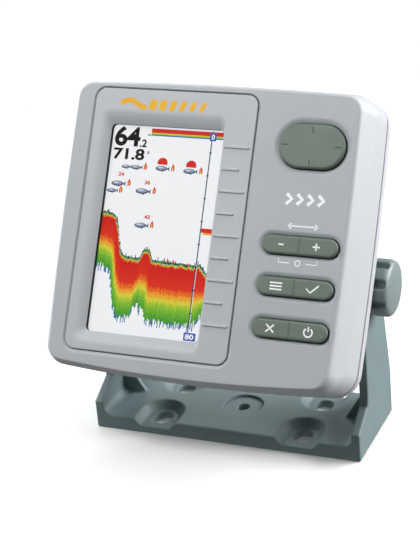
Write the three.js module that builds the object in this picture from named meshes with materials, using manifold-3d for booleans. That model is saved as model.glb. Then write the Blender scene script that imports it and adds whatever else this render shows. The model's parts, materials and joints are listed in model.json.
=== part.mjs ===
// Fish finder: a small colour sonar head on a gimbal bracket with two clamp knobs.
// Millimetres, +Z up. The screen faces -Y and the origin is under the middle of the object.
// The head is drawn upright in "face" coordinates, with X to the right, Y as the depth behind
// the front plane and Z up from the middle of the screen bezel, and is then leaned back.
import * as THREE from "three";
import { mergeVertices } from "three/addons/utils/BufferGeometryUtils.js";
import Module from "manifold-3d";

// Driving dimensions
const GAP = 0.3;
const TILT = 31.2;

const BASE = { width: 135.2, depth: 50.4, thickness: 7.4, fillet: 4 };
const ARM = { thickness: 4.4, pivotHeight: 77, pivotBack: 2.5, endRadius: 12.6, hole: 3.8 };
const ARM_SIDE = { foot: 14, shoulder: 21.5, front: -10.1, heel: 22.8 };
const MOUNT_HOLE = { x: 36.4, y: 14.8, width: 8.6, length: 11, pocketRadius: 11.2, pocketFloor: 3.6 };
const CENTRE_HOLE = { radius: 2.95, recessRadius: 10, recessDepth: 1.2 };
const RIB = { reach: 11.6, height: 18, thickness: 2.6, y: 1.8 };

const CASE = {
  halfWidth: 72, top: 65.6, bottom: -67.2, corner: 10.5, sideCrown: 0.9, topCrown: 1.3, bottomCrown: 3.2,
  wall: 3, frontDepth: 28.2, lipStart: 29.6, lipEnd: 35.4,
};
const EDGE = { side: 2.5, sideDepth: 2.5, top: 2.2, topDepth: 3, bottom: 2.4, bottomDepth: 6 };
const FLARE = { side: 2.3, top: 2.8, depth: 26 };
const PIVOT = { depth: 48.9, up: -15.3 };
const REAR = { width: 120.8, height: 110, up: -3, corner: 16, flatTo: 61.5, end: 70, wall: 2.6 };

const BEZEL = { x: -19.3, width: 79.6, height: 120.6, corner: 5, thickness: 2.6 };
const SCREEN = { x: -22.3, up: -3.75, width: 54, height: 95.5, corner: 2 };
const TICKS = { count: 9, top: 36.4, pitch: 9.96, x: 7, long: 12, short: 8.3, height: 0.9, proud: 0.5 };
const LCD = { width: 61.6, height: 103.6, front: 5.3, frameWidth: 64, frameHeight: 106, frameBack: 11 };

const KEY_X = 48.1;
const DPAD = { up: 39, width: 30.4, height: 19.7, proud: 1.5, flange: 0.8, gap: 0.6, roundness: 3 };
const ROCKER = { width: 34.9, height: 8.2, proud: 1.4, flange: 0.9, gap: 0.5, roundness: 2 };
const ROCKER_ROWS = { range_key: -4.9, menu_key: -23.2, exit_key: -41.7 };
const KEYPAD = { x: 46.8, width: 37.6, top: 50.3, bottom: -50, matFront: 6.4, matBack: 7.6, boardBack: 9.3 };

const BOARD = { front: 14, back: 15.6, left: -64, right: 62, top: 46, bottom: -50 };
const BOARD_POSTS = [[-60, 40], [-60, -46], [18.5, 40], [18.5, -46]];
const POST = { radius: 3, pilot: 1.5, pilotStart: 6, boardHole: 1.7 };
const BOARD_SCREW = { tip: 8, radius: 1.2, headRadius: 2.5, headHeight: 1.6 };
const PROCESSOR = { x: -10, up: 12, width: 24, height: 24, thickness: 2.4 };
const MEMORY = { x: -36, up: 14, width: 12, height: 18, thickness: 1.8 };
const CORE = { x: -38, up: -28, width: 24, height: 20, thickness: 17, windowWidth: 16, near: 4, far: 13.5 };
const COIL = { width: 15.2, height: 25, corner: 4, slack: 0.4 };
const CAPACITOR = { near: 30, far: 46, up: -30, radius: 6.2, height: 13, rim: 0.6 };
const BUZZER = { x: 42, up: 22, radius: 6, height: 6.4, hole: 1.2, holeStart: 4 };
const HEAT_SINK = { left: -4, right: 18, low: -40, high: -24, thickness: 10, base: 2 };
const SLOTS = { count: 4, first: -1.6, width: 3, pitch: 4.6 };
const RIBBON = { left: -30, right: -14, top: -20, fall: 16, thickness: 0.4, steps: 8 };
const CASE_SCREWS = [[-64.5, 54], [64.5, 54], [-64.5, -58.5], [64.5, -58.5], [0, 57.5], [0, -64]];
const CASE_BOSS = { radius: 3.2, pilot: 1.8, pilotStart: 14, counterbore: 2.6 };
const CASE_SCREW = { tip: 16, tipRadius: 0.9, radius: 1.45, headRadius: 2.8, headHeight: 2, sunk: 0.3 };
const SOCKET = { x: 22, up: -34, radius: 9, bore: 7.2, mouth: 79, inner: 60, flange: 11.5 };
const SOCKET_CORE = { start: 62, end: 68, pinHole: 1.2 };
const SOCKET_NUT = { radius: 12, thickness: 3.4, depth: 65.3 };
const SOCKET_PINS = { power: 2, transducer: 3 };
const PIN = { radius: 0.9, circle: 3.4, start: 58, end: 73 };

const KNOB = { radius: 13.3, start: 68.6, skirt: 75.9, end: 79.9, flutes: 8, fluteDepth: 1.3, points: 64 };
const KNOB_RIM = [[0, -0.6], [0, 0.6], [0.9, 1.6], [3.6, 2.9], [8, 3.7]];
const STUD = { radius: 3, tip: 51, end: 74 };
const WASHER = { inner: 60.7, outer: 62.9, radius: 12.3 };
const INSERT = { radius: 4.5, bore: 3.3, start: 49, end: 59.6 };

const deg = Math.PI / 180;
const wasm = await Module();
wasm.setup();

// Colours and finishes
function finish(color, roughness, metalness = 0) {
  return new THREE.MeshStandardMaterial({ color, roughness, metalness });
}
const silver = finish("#aeb0b0", 0.45);
const bezelSilver = finish("#b4b6b8", 0.42);
const rearSilver = finish("#bcbdc2", 0.45);
const bracketGrey = finish("#6a7d80", 0.5);
const keyGreen = finish("#6a776f", 0.6);
const clear = finish("#dfe6ea", 0.08);
const displayWhite = finish("#f2f2f4", 0.3);
const acrylic = finish("#f4f4f0", 0.25);
const steel = finish("#b5b8ba", 0.3, 1);
const brass = finish("#c2a14d", 0.3, 1);
const boardGreen = finish("#1f5a3a", 0.55);
const blackPlastic = finish("#1c1d1f", 0.5);
const rubber = finish("#2a2b2c", 0.85);
const silicone = finish("#8c9488", 0.8);
const ribbonOrange = finish("#b8702c", 0.5);
const ferrite = finish("#3b3c3e", 0.7);
const copper = finish("#b46a3a", 0.35, 1);
const aluminium = finish("#a9adb0", 0.35, 1);

// Solids
function toSolid(geometry) {
  const bare = geometry.clone();
  bare.deleteAttribute("normal");
  bare.deleteAttribute("uv");
  const merged = mergeVertices(bare, 1e-4);
  const index = merged.index.array;
  const kept = [];
  for (let i = 0; i < index.length; i += 3) {
    const [a, b, c] = [index[i], index[i + 1], index[i + 2]];
    if (a !== b && b !== c && c !== a) kept.push(a, b, c);
  }
  return new wasm.Manifold(new wasm.Mesh({
    numProp: 3,
    vertProperties: new Float32Array(merged.attributes.position.array),
    triVerts: new Uint32Array(kept),
  }));
}

function toGeometry(solid) {
  const mesh = solid.getMesh();
  const geometry = new THREE.BufferGeometry();
  geometry.setAttribute("position", new THREE.BufferAttribute(mesh.vertProperties, 3));
  geometry.setIndex(new THREE.BufferAttribute(mesh.triVerts, 1));
  geometry.computeVertexNormals();
  return geometry;
}

function join(...parts) {
  return parts.reduce((sum, part) => sum.add(part));
}

function cut(solid, ...tools) {
  return tools.reduce((rest, tool) => rest.subtract(tool), solid);
}

// A shape in the X-Z plane made solid from depth y0 to depth y1
function slab(shape, y0, y1, curveSegments = 4) {
  const geometry = new THREE.ExtrudeGeometry(shape, { depth: y1 - y0, bevelEnabled: false, curveSegments });
  return toSolid(geometry.rotateX(90 * deg).translate(0, y1, 0));
}

// A shape in the Y-Z plane made solid from x0 to x1
function sideSlab(shape, x0, x1, curveSegments = 4) {
  const geometry = new THREE.ExtrudeGeometry(shape, { depth: x1 - x0, bevelEnabled: false, curveSegments });
  return toSolid(geometry.rotateX(90 * deg).rotateZ(90 * deg).translate(x0, 0, 0));
}

// A shape in the X-Y plane made solid from z0 to z1
function flatSlab(shape, z0, z1, curveSegments = 4) {
  const geometry = new THREE.ExtrudeGeometry(shape, { depth: z1 - z0, bevelEnabled: false, curveSegments });
  return toSolid(geometry.translate(0, 0, z0));
}

function box(x0, x1, y0, y1, z0, z1) {
  const geometry = new THREE.BoxGeometry(x1 - x0, y1 - y0, z1 - z0);
  return toSolid(geometry.translate((x0 + x1) / 2, (y0 + y1) / 2, (z0 + z1) / 2));
}

// A round bar along the depth, centred at x and z
function bar(radius, x, z, y0, y1, segments = 16) {
  const geometry = new THREE.CylinderGeometry(radius, radius, y1 - y0, segments);
  return toSolid(geometry.translate(x, (y0 + y1) / 2, z));
}

// A round bar along X, centred at y and z
function crossBar(radius, y, z, x0, x1, segments = 20) {
  const geometry = new THREE.CylinderGeometry(radius, radius, x1 - x0, segments);
  return toSolid(geometry.rotateZ(90 * deg).translate((x0 + x1) / 2, y, z));
}

// A turned piece about the depth axis, from [radius, depth] pairs that run towards the rear
function turned(profile, x, z, segments = 20) {
  const points = profile.map(([radius, depth]) => new THREE.Vector2(radius, depth));
  return toSolid(new THREE.LatheGeometry(points, segments).translate(x, 0, z));
}

function loopPoints(shape, curveSegments) {
  const points = shape.getPoints(curveSegments);
  return points.filter((p, i) => p.distanceTo(points.at(i - 1)) > 1e-4);
}

// A closed skin through rings of equal point count, from [shape, depth] pairs
function loft(rings, curveSegments = 3) {
  const loops = rings.map(([shape]) => loopPoints(shape, curveSegments));
  const count = loops[0].length;
  const position = [];
  loops.forEach((loop, ring) => loop.forEach((p) => position.push(p.x, rings[ring][1], p.y)));
  const index = [];
  for (let ring = 0; ring + 1 < loops.length; ring += 1) {
    for (let i = 0; i < count; i += 1) {
      const a = ring * count + i;
      const b = ring * count + (i + 1) % count;
      index.push(a, b, b + count, a, b + count, a + count);
    }
  }
  const last = (loops.length - 1) * count;
  for (const [a, b, c] of THREE.ShapeUtils.triangulateShape(loops[0], [])) index.push(a, b, c);
  for (const [a, b, c] of THREE.ShapeUtils.triangulateShape(loops[loops.length - 1], [])) {
    index.push(last + c, last + b, last + a);
  }
  const geometry = new THREE.BufferGeometry();
  geometry.setAttribute("position", new THREE.Float32BufferAttribute(position, 3));
  geometry.setIndex(index);
  return toSolid(geometry);
}

// Outlines
function roundedRect(width, height, radius, x = 0, z = 0) {
  const [left, right] = [x - width / 2, x + width / 2];
  const [low, high] = [z - height / 2, z + height / 2];
  const shape = new THREE.Shape();
  shape.moveTo(left, low + radius);
  shape.lineTo(left, high - radius);
  shape.absarc(left + radius, high - radius, radius, 180 * deg, 90 * deg, true);
  shape.lineTo(right - radius, high);
  shape.absarc(right - radius, high - radius, radius, 90 * deg, 0, true);
  shape.lineTo(right, low + radius);
  shape.absarc(right - radius, low + radius, radius, 0, -90 * deg, true);
  shape.lineTo(left + radius, low);
  shape.absarc(left + radius, low + radius, radius, -90 * deg, -180 * deg, true);
  return shape;
}

function stadium(width, height, x, z) {
  return roundedRect(width, height, height / 2 - 0.01, x, z);
}

// The head's outline, crowned on every side, drawn in from its edges by the given amounts
function caseOutline(side, top = side, bottom = side) {
  const half = CASE.halfWidth - side;
  const high = CASE.top - top;
  const low = CASE.bottom + bottom;
  const radius = Math.max(CASE.corner - side, 2);
  const middle = (high + low) / 2;
  const shape = new THREE.Shape();
  shape.moveTo(-half, low + radius);
  shape.quadraticCurveTo(-half - 2 * CASE.sideCrown, middle, -half, high - radius);
  shape.absarc(-half + radius, high - radius, radius, 180 * deg, 90 * deg, true);
  shape.quadraticCurveTo(0, high + 2 * CASE.topCrown, half - radius, high);
  shape.absarc(half - radius, high - radius, radius, 90 * deg, 0, true);
  shape.quadraticCurveTo(half + 2 * CASE.sideCrown, middle, half, low + radius);
  shape.absarc(half - radius, low + radius, radius, 0, -90 * deg, true);
  shape.quadraticCurveTo(0, low - 2 * CASE.bottomCrown, -half + radius, low);
  shape.absarc(-half + radius, low + radius, radius, -90 * deg, -180 * deg, true);
  return shape;
}

// Bracket: a moulded U whose section and side view are crossed, with pockets and ribs
function armSide() {
  const half = BASE.depth / 2;
  const shape = new THREE.Shape();
  shape.moveTo(-half, 0);
  shape.lineTo(-half, ARM_SIDE.foot);
  shape.lineTo(ARM_SIDE.front - 1, ARM_SIDE.shoulder);
  shape.lineTo(ARM_SIDE.front, ARM_SIDE.shoulder + 4.5);
  shape.lineTo(ARM_SIDE.front, ARM.pivotHeight);
  shape.absarc(ARM.pivotBack, ARM.pivotHeight, ARM.endRadius, 180 * deg, 10 * deg, true);
  shape.lineTo(half, ARM_SIDE.heel);
  shape.lineTo(half, 0);
  return shape;
}

function bracketSection() {
  const half = BASE.width / 2;
  const inner = half - ARM.thickness;
  const top = ARM.pivotHeight + ARM.endRadius + 1;
  const { thickness, fillet } = BASE;
  const shape = new THREE.Shape();
  shape.moveTo(-half, 0);
  shape.lineTo(-half, top);
  shape.lineTo(-inner, top);
  shape.lineTo(-inner, thickness + fillet);
  shape.absarc(-inner + fillet, thickness + fillet, fillet, 180 * deg, 270 * deg, false);
  shape.lineTo(inner - fillet, thickness);
  shape.absarc(inner - fillet, thickness + fillet, fillet, -90 * deg, 0, false);
  shape.lineTo(inner, top);
  shape.lineTo(half, top);
  shape.lineTo(half, 0);
  return shape;
}

// A pocket sunk round one mounting hole, with sloping walls, open to the near long edge
function mountPocket(sideX, sideY) {
  const x = sideX * MOUNT_HOLE.x;
  const y = sideY * MOUNT_HOLE.y;
  const { pocketRadius, pocketFloor } = MOUNT_HOLE;
  const slope = BASE.thickness - pocketFloor;
  const height = slope + 1;
  const cone = new THREE.CylinderGeometry(pocketRadius + 1, pocketRadius - slope, height, 24);
  const bowl = toSolid(cone.rotateX(90 * deg).translate(x, y, pocketFloor + height / 2));
  const trench = new THREE.Shape();
  trench.moveTo(x - pocketRadius + slope, pocketFloor);
  trench.lineTo(x + pocketRadius - slope, pocketFloor);
  trench.lineTo(x + pocketRadius + 1, pocketFloor + height);
  trench.lineTo(x - pocketRadius - 1, pocketFloor + height);
  const edge = sideY * (BASE.depth / 2 + 1);
  const channel = slab(trench, Math.min(y, edge), Math.max(y, edge));
  return join(bowl, channel);
}

function mountHole(sideX, sideY) {
  const { x, y, width, length } = MOUNT_HOLE;
  const shape = roundedRect(width, length, width / 2 - 0.01, sideX * x, sideY * y);
  return flatSlab(shape, -1, BASE.thickness + 1, 3);
}

function armRib(side) {
  const inner = side * (BASE.width / 2 - ARM.thickness + 0.5);
  const shape = new THREE.Shape();
  shape.moveTo(inner, BASE.thickness - 0.5);
  shape.lineTo(inner - side * RIB.reach, BASE.thickness - 0.5);
  shape.lineTo(inner - side * RIB.reach, BASE.thickness + 0.4);
  shape.lineTo(inner, BASE.thickness + RIB.height);
  return slab(shape, RIB.y - RIB.thickness / 2, RIB.y + RIB.thickness / 2);
}

function bracket() {
  const half = BASE.depth / 2;
  const section = slab(bracketSection(), -half - 1, half + 1, 3);
  let body = section.intersect(sideSlab(armSide(), -BASE.width, BASE.width, 9));
  for (const sideX of [-1, 1]) {
    body = body.add(armRib(sideX));
    const arm = sideX * (BASE.width / 2 - ARM.thickness / 2);
    body = body.subtract(crossBar(ARM.hole, ARM.pivotBack, ARM.pivotHeight, arm - 4, arm + 4));
    for (const sideY of [-1, 1]) body = cut(body, mountPocket(sideX, sideY), mountHole(sideX, sideY));
  }
  const { radius, recessRadius, recessDepth } = CENTRE_HOLE;
  const recess = new THREE.CylinderGeometry(recessRadius, recessRadius, 2, 24).rotateX(90 * deg);
  const bore = new THREE.CylinderGeometry(radius, radius, 2 * BASE.thickness + 2, 14).rotateX(90 * deg);
  recess.translate(0, 0, BASE.thickness - recessDepth + 1);
  return cut(body, toSolid(recess), toSolid(bore));
}

// Clamp knobs, in pivot coordinates, drawn for the +X side and mirrored for the other
function knobOutline() {
  const points = [];
  for (let i = 0; i < KNOB.points; i += 1) {
    const angle = (i / KNOB.points) * 360 * deg;
    const wave = Math.max(0, Math.cos(KNOB.flutes * angle) - 0.3) / 0.7;
    const radius = KNOB.radius - 0.3 - KNOB.fluteDepth * Math.sqrt(wave);
    points.push(new THREE.Vector2(radius * Math.cos(angle), radius * Math.sin(angle)));
  }
  return new THREE.Shape(points);
}

function knob() {
  const { radius, start, skirt, end } = KNOB;
  const rim = KNOB_RIM.map(([inward, rise]) => [radius - inward, skirt + rise]);
  const cap = turned([[0, rim[0][1]], ...rim, [0, end]], 0, 0, 32);
  const fluted = slab(knobOutline(), start, skirt - 0.3);
  const hole = bar(STUD.radius + GAP, 0, 0, start - 1, STUD.end + GAP, 16);
  return cut(join(cap, fluted), hole);
}

function stud() {
  const { radius, tip, end } = STUD;
  const profile = [[0, tip], [radius - 0.8, tip], [radius, tip + 1], [radius, end], [0, end]];
  return turned(profile, 0, 0, 16);
}

function washer() {
  return cut(
    bar(WASHER.radius, 0, 0, WASHER.inner, WASHER.outer, 24),
    bar(ARM.hole, 0, 0, WASHER.inner - 1, WASHER.outer + 1, 16),
  );
}

function insert() {
  const { radius, bore, start, end } = INSERT;
  return cut(bar(radius, 0, 0, start, end, 16), bar(bore, 0, 0, start - 1, end + 1, 16));
}

// Front moulding
// How far a rounded edge is still drawn in at a depth behind the front plane
function roundedInset(size, span, depth) {
  const left = 1 - Math.min(depth / span, 1);
  return size * (1 - Math.sqrt(1 - left * left));
}

// The front moulding's outline at a depth: rounded at the front and flaring towards the rear
function frontOutline(depth) {
  const flare = (1 - Math.min(depth / FLARE.depth, 1)) ** 2;
  return caseOutline(
    roundedInset(EDGE.side, EDGE.sideDepth, depth) + FLARE.side * flare,
    roundedInset(EDGE.top, EDGE.topDepth, depth) + FLARE.top * flare,
    roundedInset(EDGE.bottom, EDGE.bottomDepth, depth),
  );
}

function frontBlock() {
  const depths = [0, 0.3, 1, 2.5, 4.5, 8, 14, FLARE.depth, CASE.frontDepth];
  return loft(depths.map((depth) => [frontOutline(depth), depth]));
}

function frontCavity() {
  const wall = CASE.wall;
  return loft([
    [caseOutline(wall + 2.7, wall + 4.2, wall + 2.2), wall],
    [caseOutline(wall + 0.9, wall + 2.4, wall + 0.4), wall + 3.5],
    [caseOutline(wall), FLARE.depth],
    [caseOutline(wall), CASE.frontDepth + 1],
  ]);
}

function windowLedge() {
  const outline = roundedRect(BEZEL.width + 7, BEZEL.height + 7, BEZEL.corner + 3, BEZEL.x, 0);
  return slab(outline, CASE.wall - 0.5, CASE.wall + 1.9, 2);
}

function bezelRecess() {
  const outline = roundedRect(BEZEL.width + 2 * GAP, BEZEL.height + 2 * GAP, BEZEL.corner + GAP, BEZEL.x, 0);
  return slab(outline, -1, BEZEL.thickness + GAP, 2);
}

function windowOpening() {
  const outline = roundedRect(BEZEL.width - 6.6, BEZEL.height - 7.6, 3, BEZEL.x, 0);
  return slab(outline, 0, CASE.wall + 3, 2);
}

function keyOpening(size, up) {
  const outline = stadium(size.width + 2 * size.gap, size.height + 2 * size.gap, KEY_X, up);
  return slab(outline, -2, CASE.wall + 1, size.roundness);
}

function frontCase() {
  const outer = frontBlock();
  let shell = cut(outer, frontCavity());
  shell = shell.add(windowLedge().intersect(outer));
  for (const [x, up] of CASE_SCREWS) {
    const { radius, pilot, pilotStart } = CASE_BOSS;
    shell = shell.add(bar(radius, x, up, CASE.wall - 0.5, CASE.frontDepth, 12).intersect(outer));
    shell = shell.subtract(bar(pilot, x, up, pilotStart, CASE.frontDepth + 1, 10));
  }
  for (const [x, up] of BOARD_POSTS) {
    shell = shell.add(bar(POST.radius, x, up, CASE.wall - 0.5, BOARD.front - GAP, 12));
    shell = shell.subtract(bar(POST.pilot, x, up, POST.pilotStart, BOARD.front + 1, 10));
  }
  shell = cut(shell, bezelRecess(), windowOpening(), keyOpening(DPAD, DPAD.up));
  return cut(shell, ...Object.values(ROCKER_ROWS).map((up) => keyOpening(ROCKER, up)));
}

// Screen: dished bezel with nine tick ribs, window, panel, light guide and tray
function screenBezel() {
  const { x, width, height, corner, thickness } = BEZEL;
  const plate = slab(roundedRect(width, height, corner, x, 0), 0, thickness, 2);
  const opening = roundedRect(SCREEN.width, SCREEN.height, SCREEN.corner, SCREEN.x, SCREEN.up);
  const dish = loft([
    [roundedRect(SCREEN.width + 9, SCREEN.height + 14, 5, SCREEN.x, SCREEN.up), -0.5],
    [roundedRect(SCREEN.width + 1, SCREEN.height + 1, 2.4, SCREEN.x, SCREEN.up), 1.2],
  ], 2);
  let solid = cut(plate, dish, slab(opening, -1, thickness + 1, 2));
  for (let i = 0; i < TICKS.count; i += 1) {
    const length = i % 2 === 0 ? TICKS.long : TICKS.short;
    const up = TICKS.top - i * TICKS.pitch;
    const rib = roundedRect(length, TICKS.height, 0.3, TICKS.x + length / 2, up);
    solid = solid.add(slab(rib, -TICKS.proud, 0.8, 1));
  }
  return solid;
}

function lcdFrame() {
  const { frameWidth, frameHeight, front, frameBack } = LCD;
  const tray = slab(roundedRect(frameWidth, frameHeight, 1, SCREEN.x, SCREEN.up), front - 0.1, frameBack, 1);
  const well = slab(roundedRect(LCD.width + 0.8, LCD.height + 0.8, 0.8, SCREEN.x, SCREEN.up), 0, 10.2, 1);
  return cut(tray, well);
}

// Keys: each rocks on the keypad and is held behind the case by its flange
function keyCap(size, up, flangeFront, flangeBack) {
  const edge = size.proud * 0.6;
  const cap = loft([
    [stadium(size.width - 2.4, size.height - 2.4, KEY_X, up), -size.proud],
    [stadium(size.width - 0.8, size.height - 0.8, KEY_X, up), -size.proud + edge * 0.4],
    [stadium(size.width, size.height, KEY_X, up), -size.proud + edge],
    [stadium(size.width, size.height, KEY_X, up), flangeFront + 0.2],
  ], size.roundness);
  const grown = 2 * size.flange;
  const outline = stadium(size.width + grown, size.height + grown, KEY_X, up);
  return join(cap, slab(outline, flangeFront, flangeBack, size.roundness));
}

function rockerKey(up) {
  const groove = box(KEY_X - 0.25, KEY_X + 0.25, -ROCKER.proud - 1, -ROCKER.proud + 0.5, up - 6, up + 6);
  return cut(keyCap(ROCKER, up, 4.3, 5.1), groove);
}

function dpad() {
  return cut(keyCap(DPAD, DPAD.up, 4.4, 5.1), bar(5, KEY_X, DPAD.up, 2.6, 6, 16));
}

function dpadPivot() {
  return turned([[0, 3.4], [3.2, 3.4], [3.6, 3.9], [3.6, 5.2], [2.4, 6], [0, 6.1]], KEY_X, DPAD.up, 16);
}

function keypadMat() {
  const { x, width, top, bottom, matFront, matBack } = KEYPAD;
  return slab(roundedRect(width, top - bottom, 3, x, (top + bottom) / 2), matFront, matBack, 2);
}

function keypadBoard() {
  const { x, width, top, bottom, matBack, boardBack } = KEYPAD;
  const outline = roundedRect(width - 1, top - bottom - 1, 2, x, (top + bottom) / 2);
  return slab(outline, matBack + GAP, boardBack, 1);
}

// Electronics
function mainBoard() {
  const { left, right, top, bottom, front, back } = BOARD;
  const outline = roundedRect(right - left, top - bottom, 3, (left + right) / 2, (top + bottom) / 2);
  const holes = BOARD_POSTS.map(([x, up]) => bar(POST.boardHole, x, up, front - 1, back + 1, 12));
  return cut(slab(outline, front, back, 2), ...holes);
}

// Components stand on the rear side of the main board
const MOUNTED = BOARD.back + GAP;

function chip({ x, up, width, height, thickness }) {
  const [left, low] = [x - width / 2, up - height / 2];
  return box(left, left + width, MOUNTED, MOUNTED + thickness, low, low + height);
}

function transformerCore() {
  const { x, up, height, windowWidth, near, far } = CORE;
  const [left, low] = [x - windowWidth / 2, up - height / 2];
  const [front, back] = [BOARD.back + near, BOARD.back + far];
  return cut(chip(CORE), box(left, left + windowWidth, front, back, low - 1, low + height + 1));
}

function transformerCoil() {
  const { width, height, corner, slack } = COIL;
  const outline = roundedRect(width, height, corner, CORE.x, CORE.up);
  return slab(outline, BOARD.back + CORE.near + slack, BOARD.back + CORE.far - slack, 2);
}

function capacitor(x) {
  const { up, radius, height, rim } = CAPACITOR;
  const shoulder = MOUNTED + height;
  const profile = [[0, MOUNTED], [radius, MOUNTED], [radius, shoulder], [radius - rim, shoulder + rim]];
  return turned([...profile, [0, shoulder + rim]], x, up, 18);
}

function buzzer() {
  const { x, up, radius, height, hole, holeStart } = BUZZER;
  const can = bar(radius, x, up, MOUNTED, MOUNTED + height, 18);
  return cut(can, bar(hole, x, up, MOUNTED + holeStart, MOUNTED + height + 1, 8));
}

function heatSink() {
  const { left, right, low, high, thickness, base } = HEAT_SINK;
  const block = box(left, right, MOUNTED, MOUNTED + thickness, low, high);
  const slots = Array.from({ length: SLOTS.count }, (_, i) => {
    const start = SLOTS.first + i * SLOTS.pitch;
    return box(start, start + SLOTS.width, MOUNTED + base, MOUNTED + thickness + 1, low - 1, high + 1);
  });
  return cut(block, ...slots);
}

// A ribbon that drops from the display tray to the main board in one soft bend
function flexRibbon() {
  const { left, right, top, fall, thickness, steps } = RIBBON;
  const nearFace = LCD.frameBack + GAP;
  const drop = BOARD.front - GAP - thickness - nearFace;
  const bend = Array.from({ length: steps + 1 }, (_, i) => {
    const t = i / steps;
    return [nearFace + drop * (0.5 - 0.5 * Math.cos(t * Math.PI)), top - fall * t];
  });
  const near = bend.map(([depth, up]) => new THREE.Vector2(depth, up));
  const far = bend.map(([depth, up]) => new THREE.Vector2(depth + thickness, up)).reverse();
  return sideSlab(new THREE.Shape([...near, ...far]), left, right);
}

// Rear moulding with the pivot bosses
function rearOutline(inset) {
  return roundedRect(REAR.width - 2 * inset, REAR.height - 2 * inset, REAR.corner - inset, 0, REAR.up);
}

function rearCase() {
  const { lipStart, lipEnd } = CASE;
  const lip = loft([[caseOutline(0), lipStart], [caseOutline(0), lipEnd - 1.5], [caseOutline(1.4), lipEnd]]);
  const rings = [[rearOutline(0), lipEnd - 2]];
  const steps = 4;
  const round = REAR.end - REAR.flatTo;
  for (let i = 0; i <= steps; i += 1) {
    const angle = (i / steps) * 90 * deg;
    rings.push([rearOutline(round * (1 - Math.cos(angle))), REAR.flatTo + round * Math.sin(angle)]);
  }
  let shell = join(lip, loft(rings));
  const { wall, flatTo, end } = REAR;
  shell = cut(shell, loft([
    [rearOutline(wall), lipStart - 1],
    [rearOutline(wall), flatTo - 1],
    [rearOutline(wall + 6.5), end - wall],
  ]));
  for (const side of [-1, 1]) {
    const [near, far] = [side * 46, side * (REAR.width / 2 - 1)];
    shell = shell.add(crossBar(8, PIVOT.depth, PIVOT.up, Math.min(near, far), Math.max(near, far), 18));
    const [blind, out] = [side * (INSERT.start - GAP), side * (REAR.width / 2 + 1)];
    const [low, high] = [Math.min(blind, out), Math.max(blind, out)];
    const hole = crossBar(INSERT.radius + GAP, PIVOT.depth, PIVOT.up, low, high, 16);
    shell = cut(shell, hole, bar(SOCKET.radius + GAP, side * SOCKET.x, SOCKET.up, end - 8, end + 1, 20));
  }
  for (const [x, up] of CASE_SCREWS) {
    const { radius, pilot, counterbore } = CASE_BOSS;
    const through = bar(pilot, x, up, lipStart - 1, lipEnd + 1, 10);
    shell = cut(shell, through, bar(radius, x, up, lipEnd - counterbore, lipEnd + 1, 12));
  }
  return shell;
}

function caseGasket() {
  const [front, back] = [CASE.frontDepth + GAP, CASE.lipStart - GAP];
  return cut(slab(caseOutline(0.8), front, back, 3), slab(caseOutline(2.6), front - 1, back + 1, 3));
}

function caseScrew(x, up) {
  const { tip, tipRadius, radius, headRadius, headHeight, sunk } = CASE_SCREW;
  const end = CASE.lipEnd - sunk;
  const seat = end - headHeight;
  const shank = [[0, tip], [tipRadius, tip], [radius, tip + 1.4], [radius, seat]];
  const head = [[headRadius, seat], [headRadius, end - 0.5], [headRadius - 0.6, end], [0, end]];
  return turned([...shank, ...head], x, up, 12);
}

function boardScrew(x, up) {
  const { tip, radius, headRadius, headHeight } = BOARD_SCREW;
  const top = MOUNTED + headHeight;
  const shank = [[0, tip], [radius, tip], [radius, MOUNTED]];
  return turned([...shank, [headRadius, MOUNTED], [headRadius, top], [0, top]], x, up, 10);
}

// Rear sockets
function socketShell(x) {
  const { radius, bore, mouth, inner, flange } = SOCKET;
  const seat = REAR.end + GAP;
  const profile = [[bore, inner], [radius, inner], [radius, seat], [flange, seat], [flange, seat + 1.6]];
  profile.push([radius, seat + 2], [radius, mouth], [bore, mouth], [bore, inner]);
  return turned(profile, x, SOCKET.up, 20);
}

function pinPlaces(x, count) {
  return Array.from({ length: count }, (_, i) => {
    const angle = (i / count) * 360 * deg;
    return [x + PIN.circle * Math.cos(angle), SOCKET.up + PIN.circle * Math.sin(angle)];
  });
}

function socketCore(x, count) {
  const { start, end, pinHole } = SOCKET_CORE;
  const holes = pinPlaces(x, count).map(([px, up]) => bar(pinHole, px, up, start - 1, end + 1, 8));
  return cut(bar(SOCKET.bore - GAP, x, SOCKET.up, start, end, 20), ...holes);
}

function socketNut(x) {
  const { radius, thickness, depth } = SOCKET_NUT;
  const hex = new THREE.CylinderGeometry(radius, radius, thickness, 6).translate(x, depth, SOCKET.up);
  return cut(toSolid(hex), bar(SOCKET.radius + GAP, x, SOCKET.up, depth - thickness, depth + thickness, 20));
}

// Assembly
const root = new THREE.Group();
const bracketGroup = new THREE.Group();
const pivotGroup = new THREE.Group();
const face = new THREE.Group();
pivotGroup.position.set(0, ARM.pivotBack, ARM.pivotHeight);
pivotGroup.rotation.x = -TILT * deg;
face.position.set(0, -PIVOT.depth, -PIVOT.up);
pivotGroup.add(face);
root.add(bracketGroup, pivotGroup);

function place(group, name, solid, material) {
  const mesh = new THREE.Mesh(toGeometry(solid), material);
  mesh.name = name;
  group.add(mesh);
  return mesh;
}

place(bracketGroup, "bracket", bracket(), bracketGrey);

for (const [label, side] of [["left", -1], ["right", 1]]) {
  const shaft = new THREE.Group();
  shaft.rotation.z = -side * 90 * deg;
  pivotGroup.add(shaft);
  place(shaft, `knob_${label}`, knob(), bracketGrey);
  place(shaft, `knob_stud_${label}`, stud(), steel);
  place(shaft, `friction_washer_${label}`, washer(), rubber);
  place(shaft, `pivot_insert_${label}`, insert(), brass);
}

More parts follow.
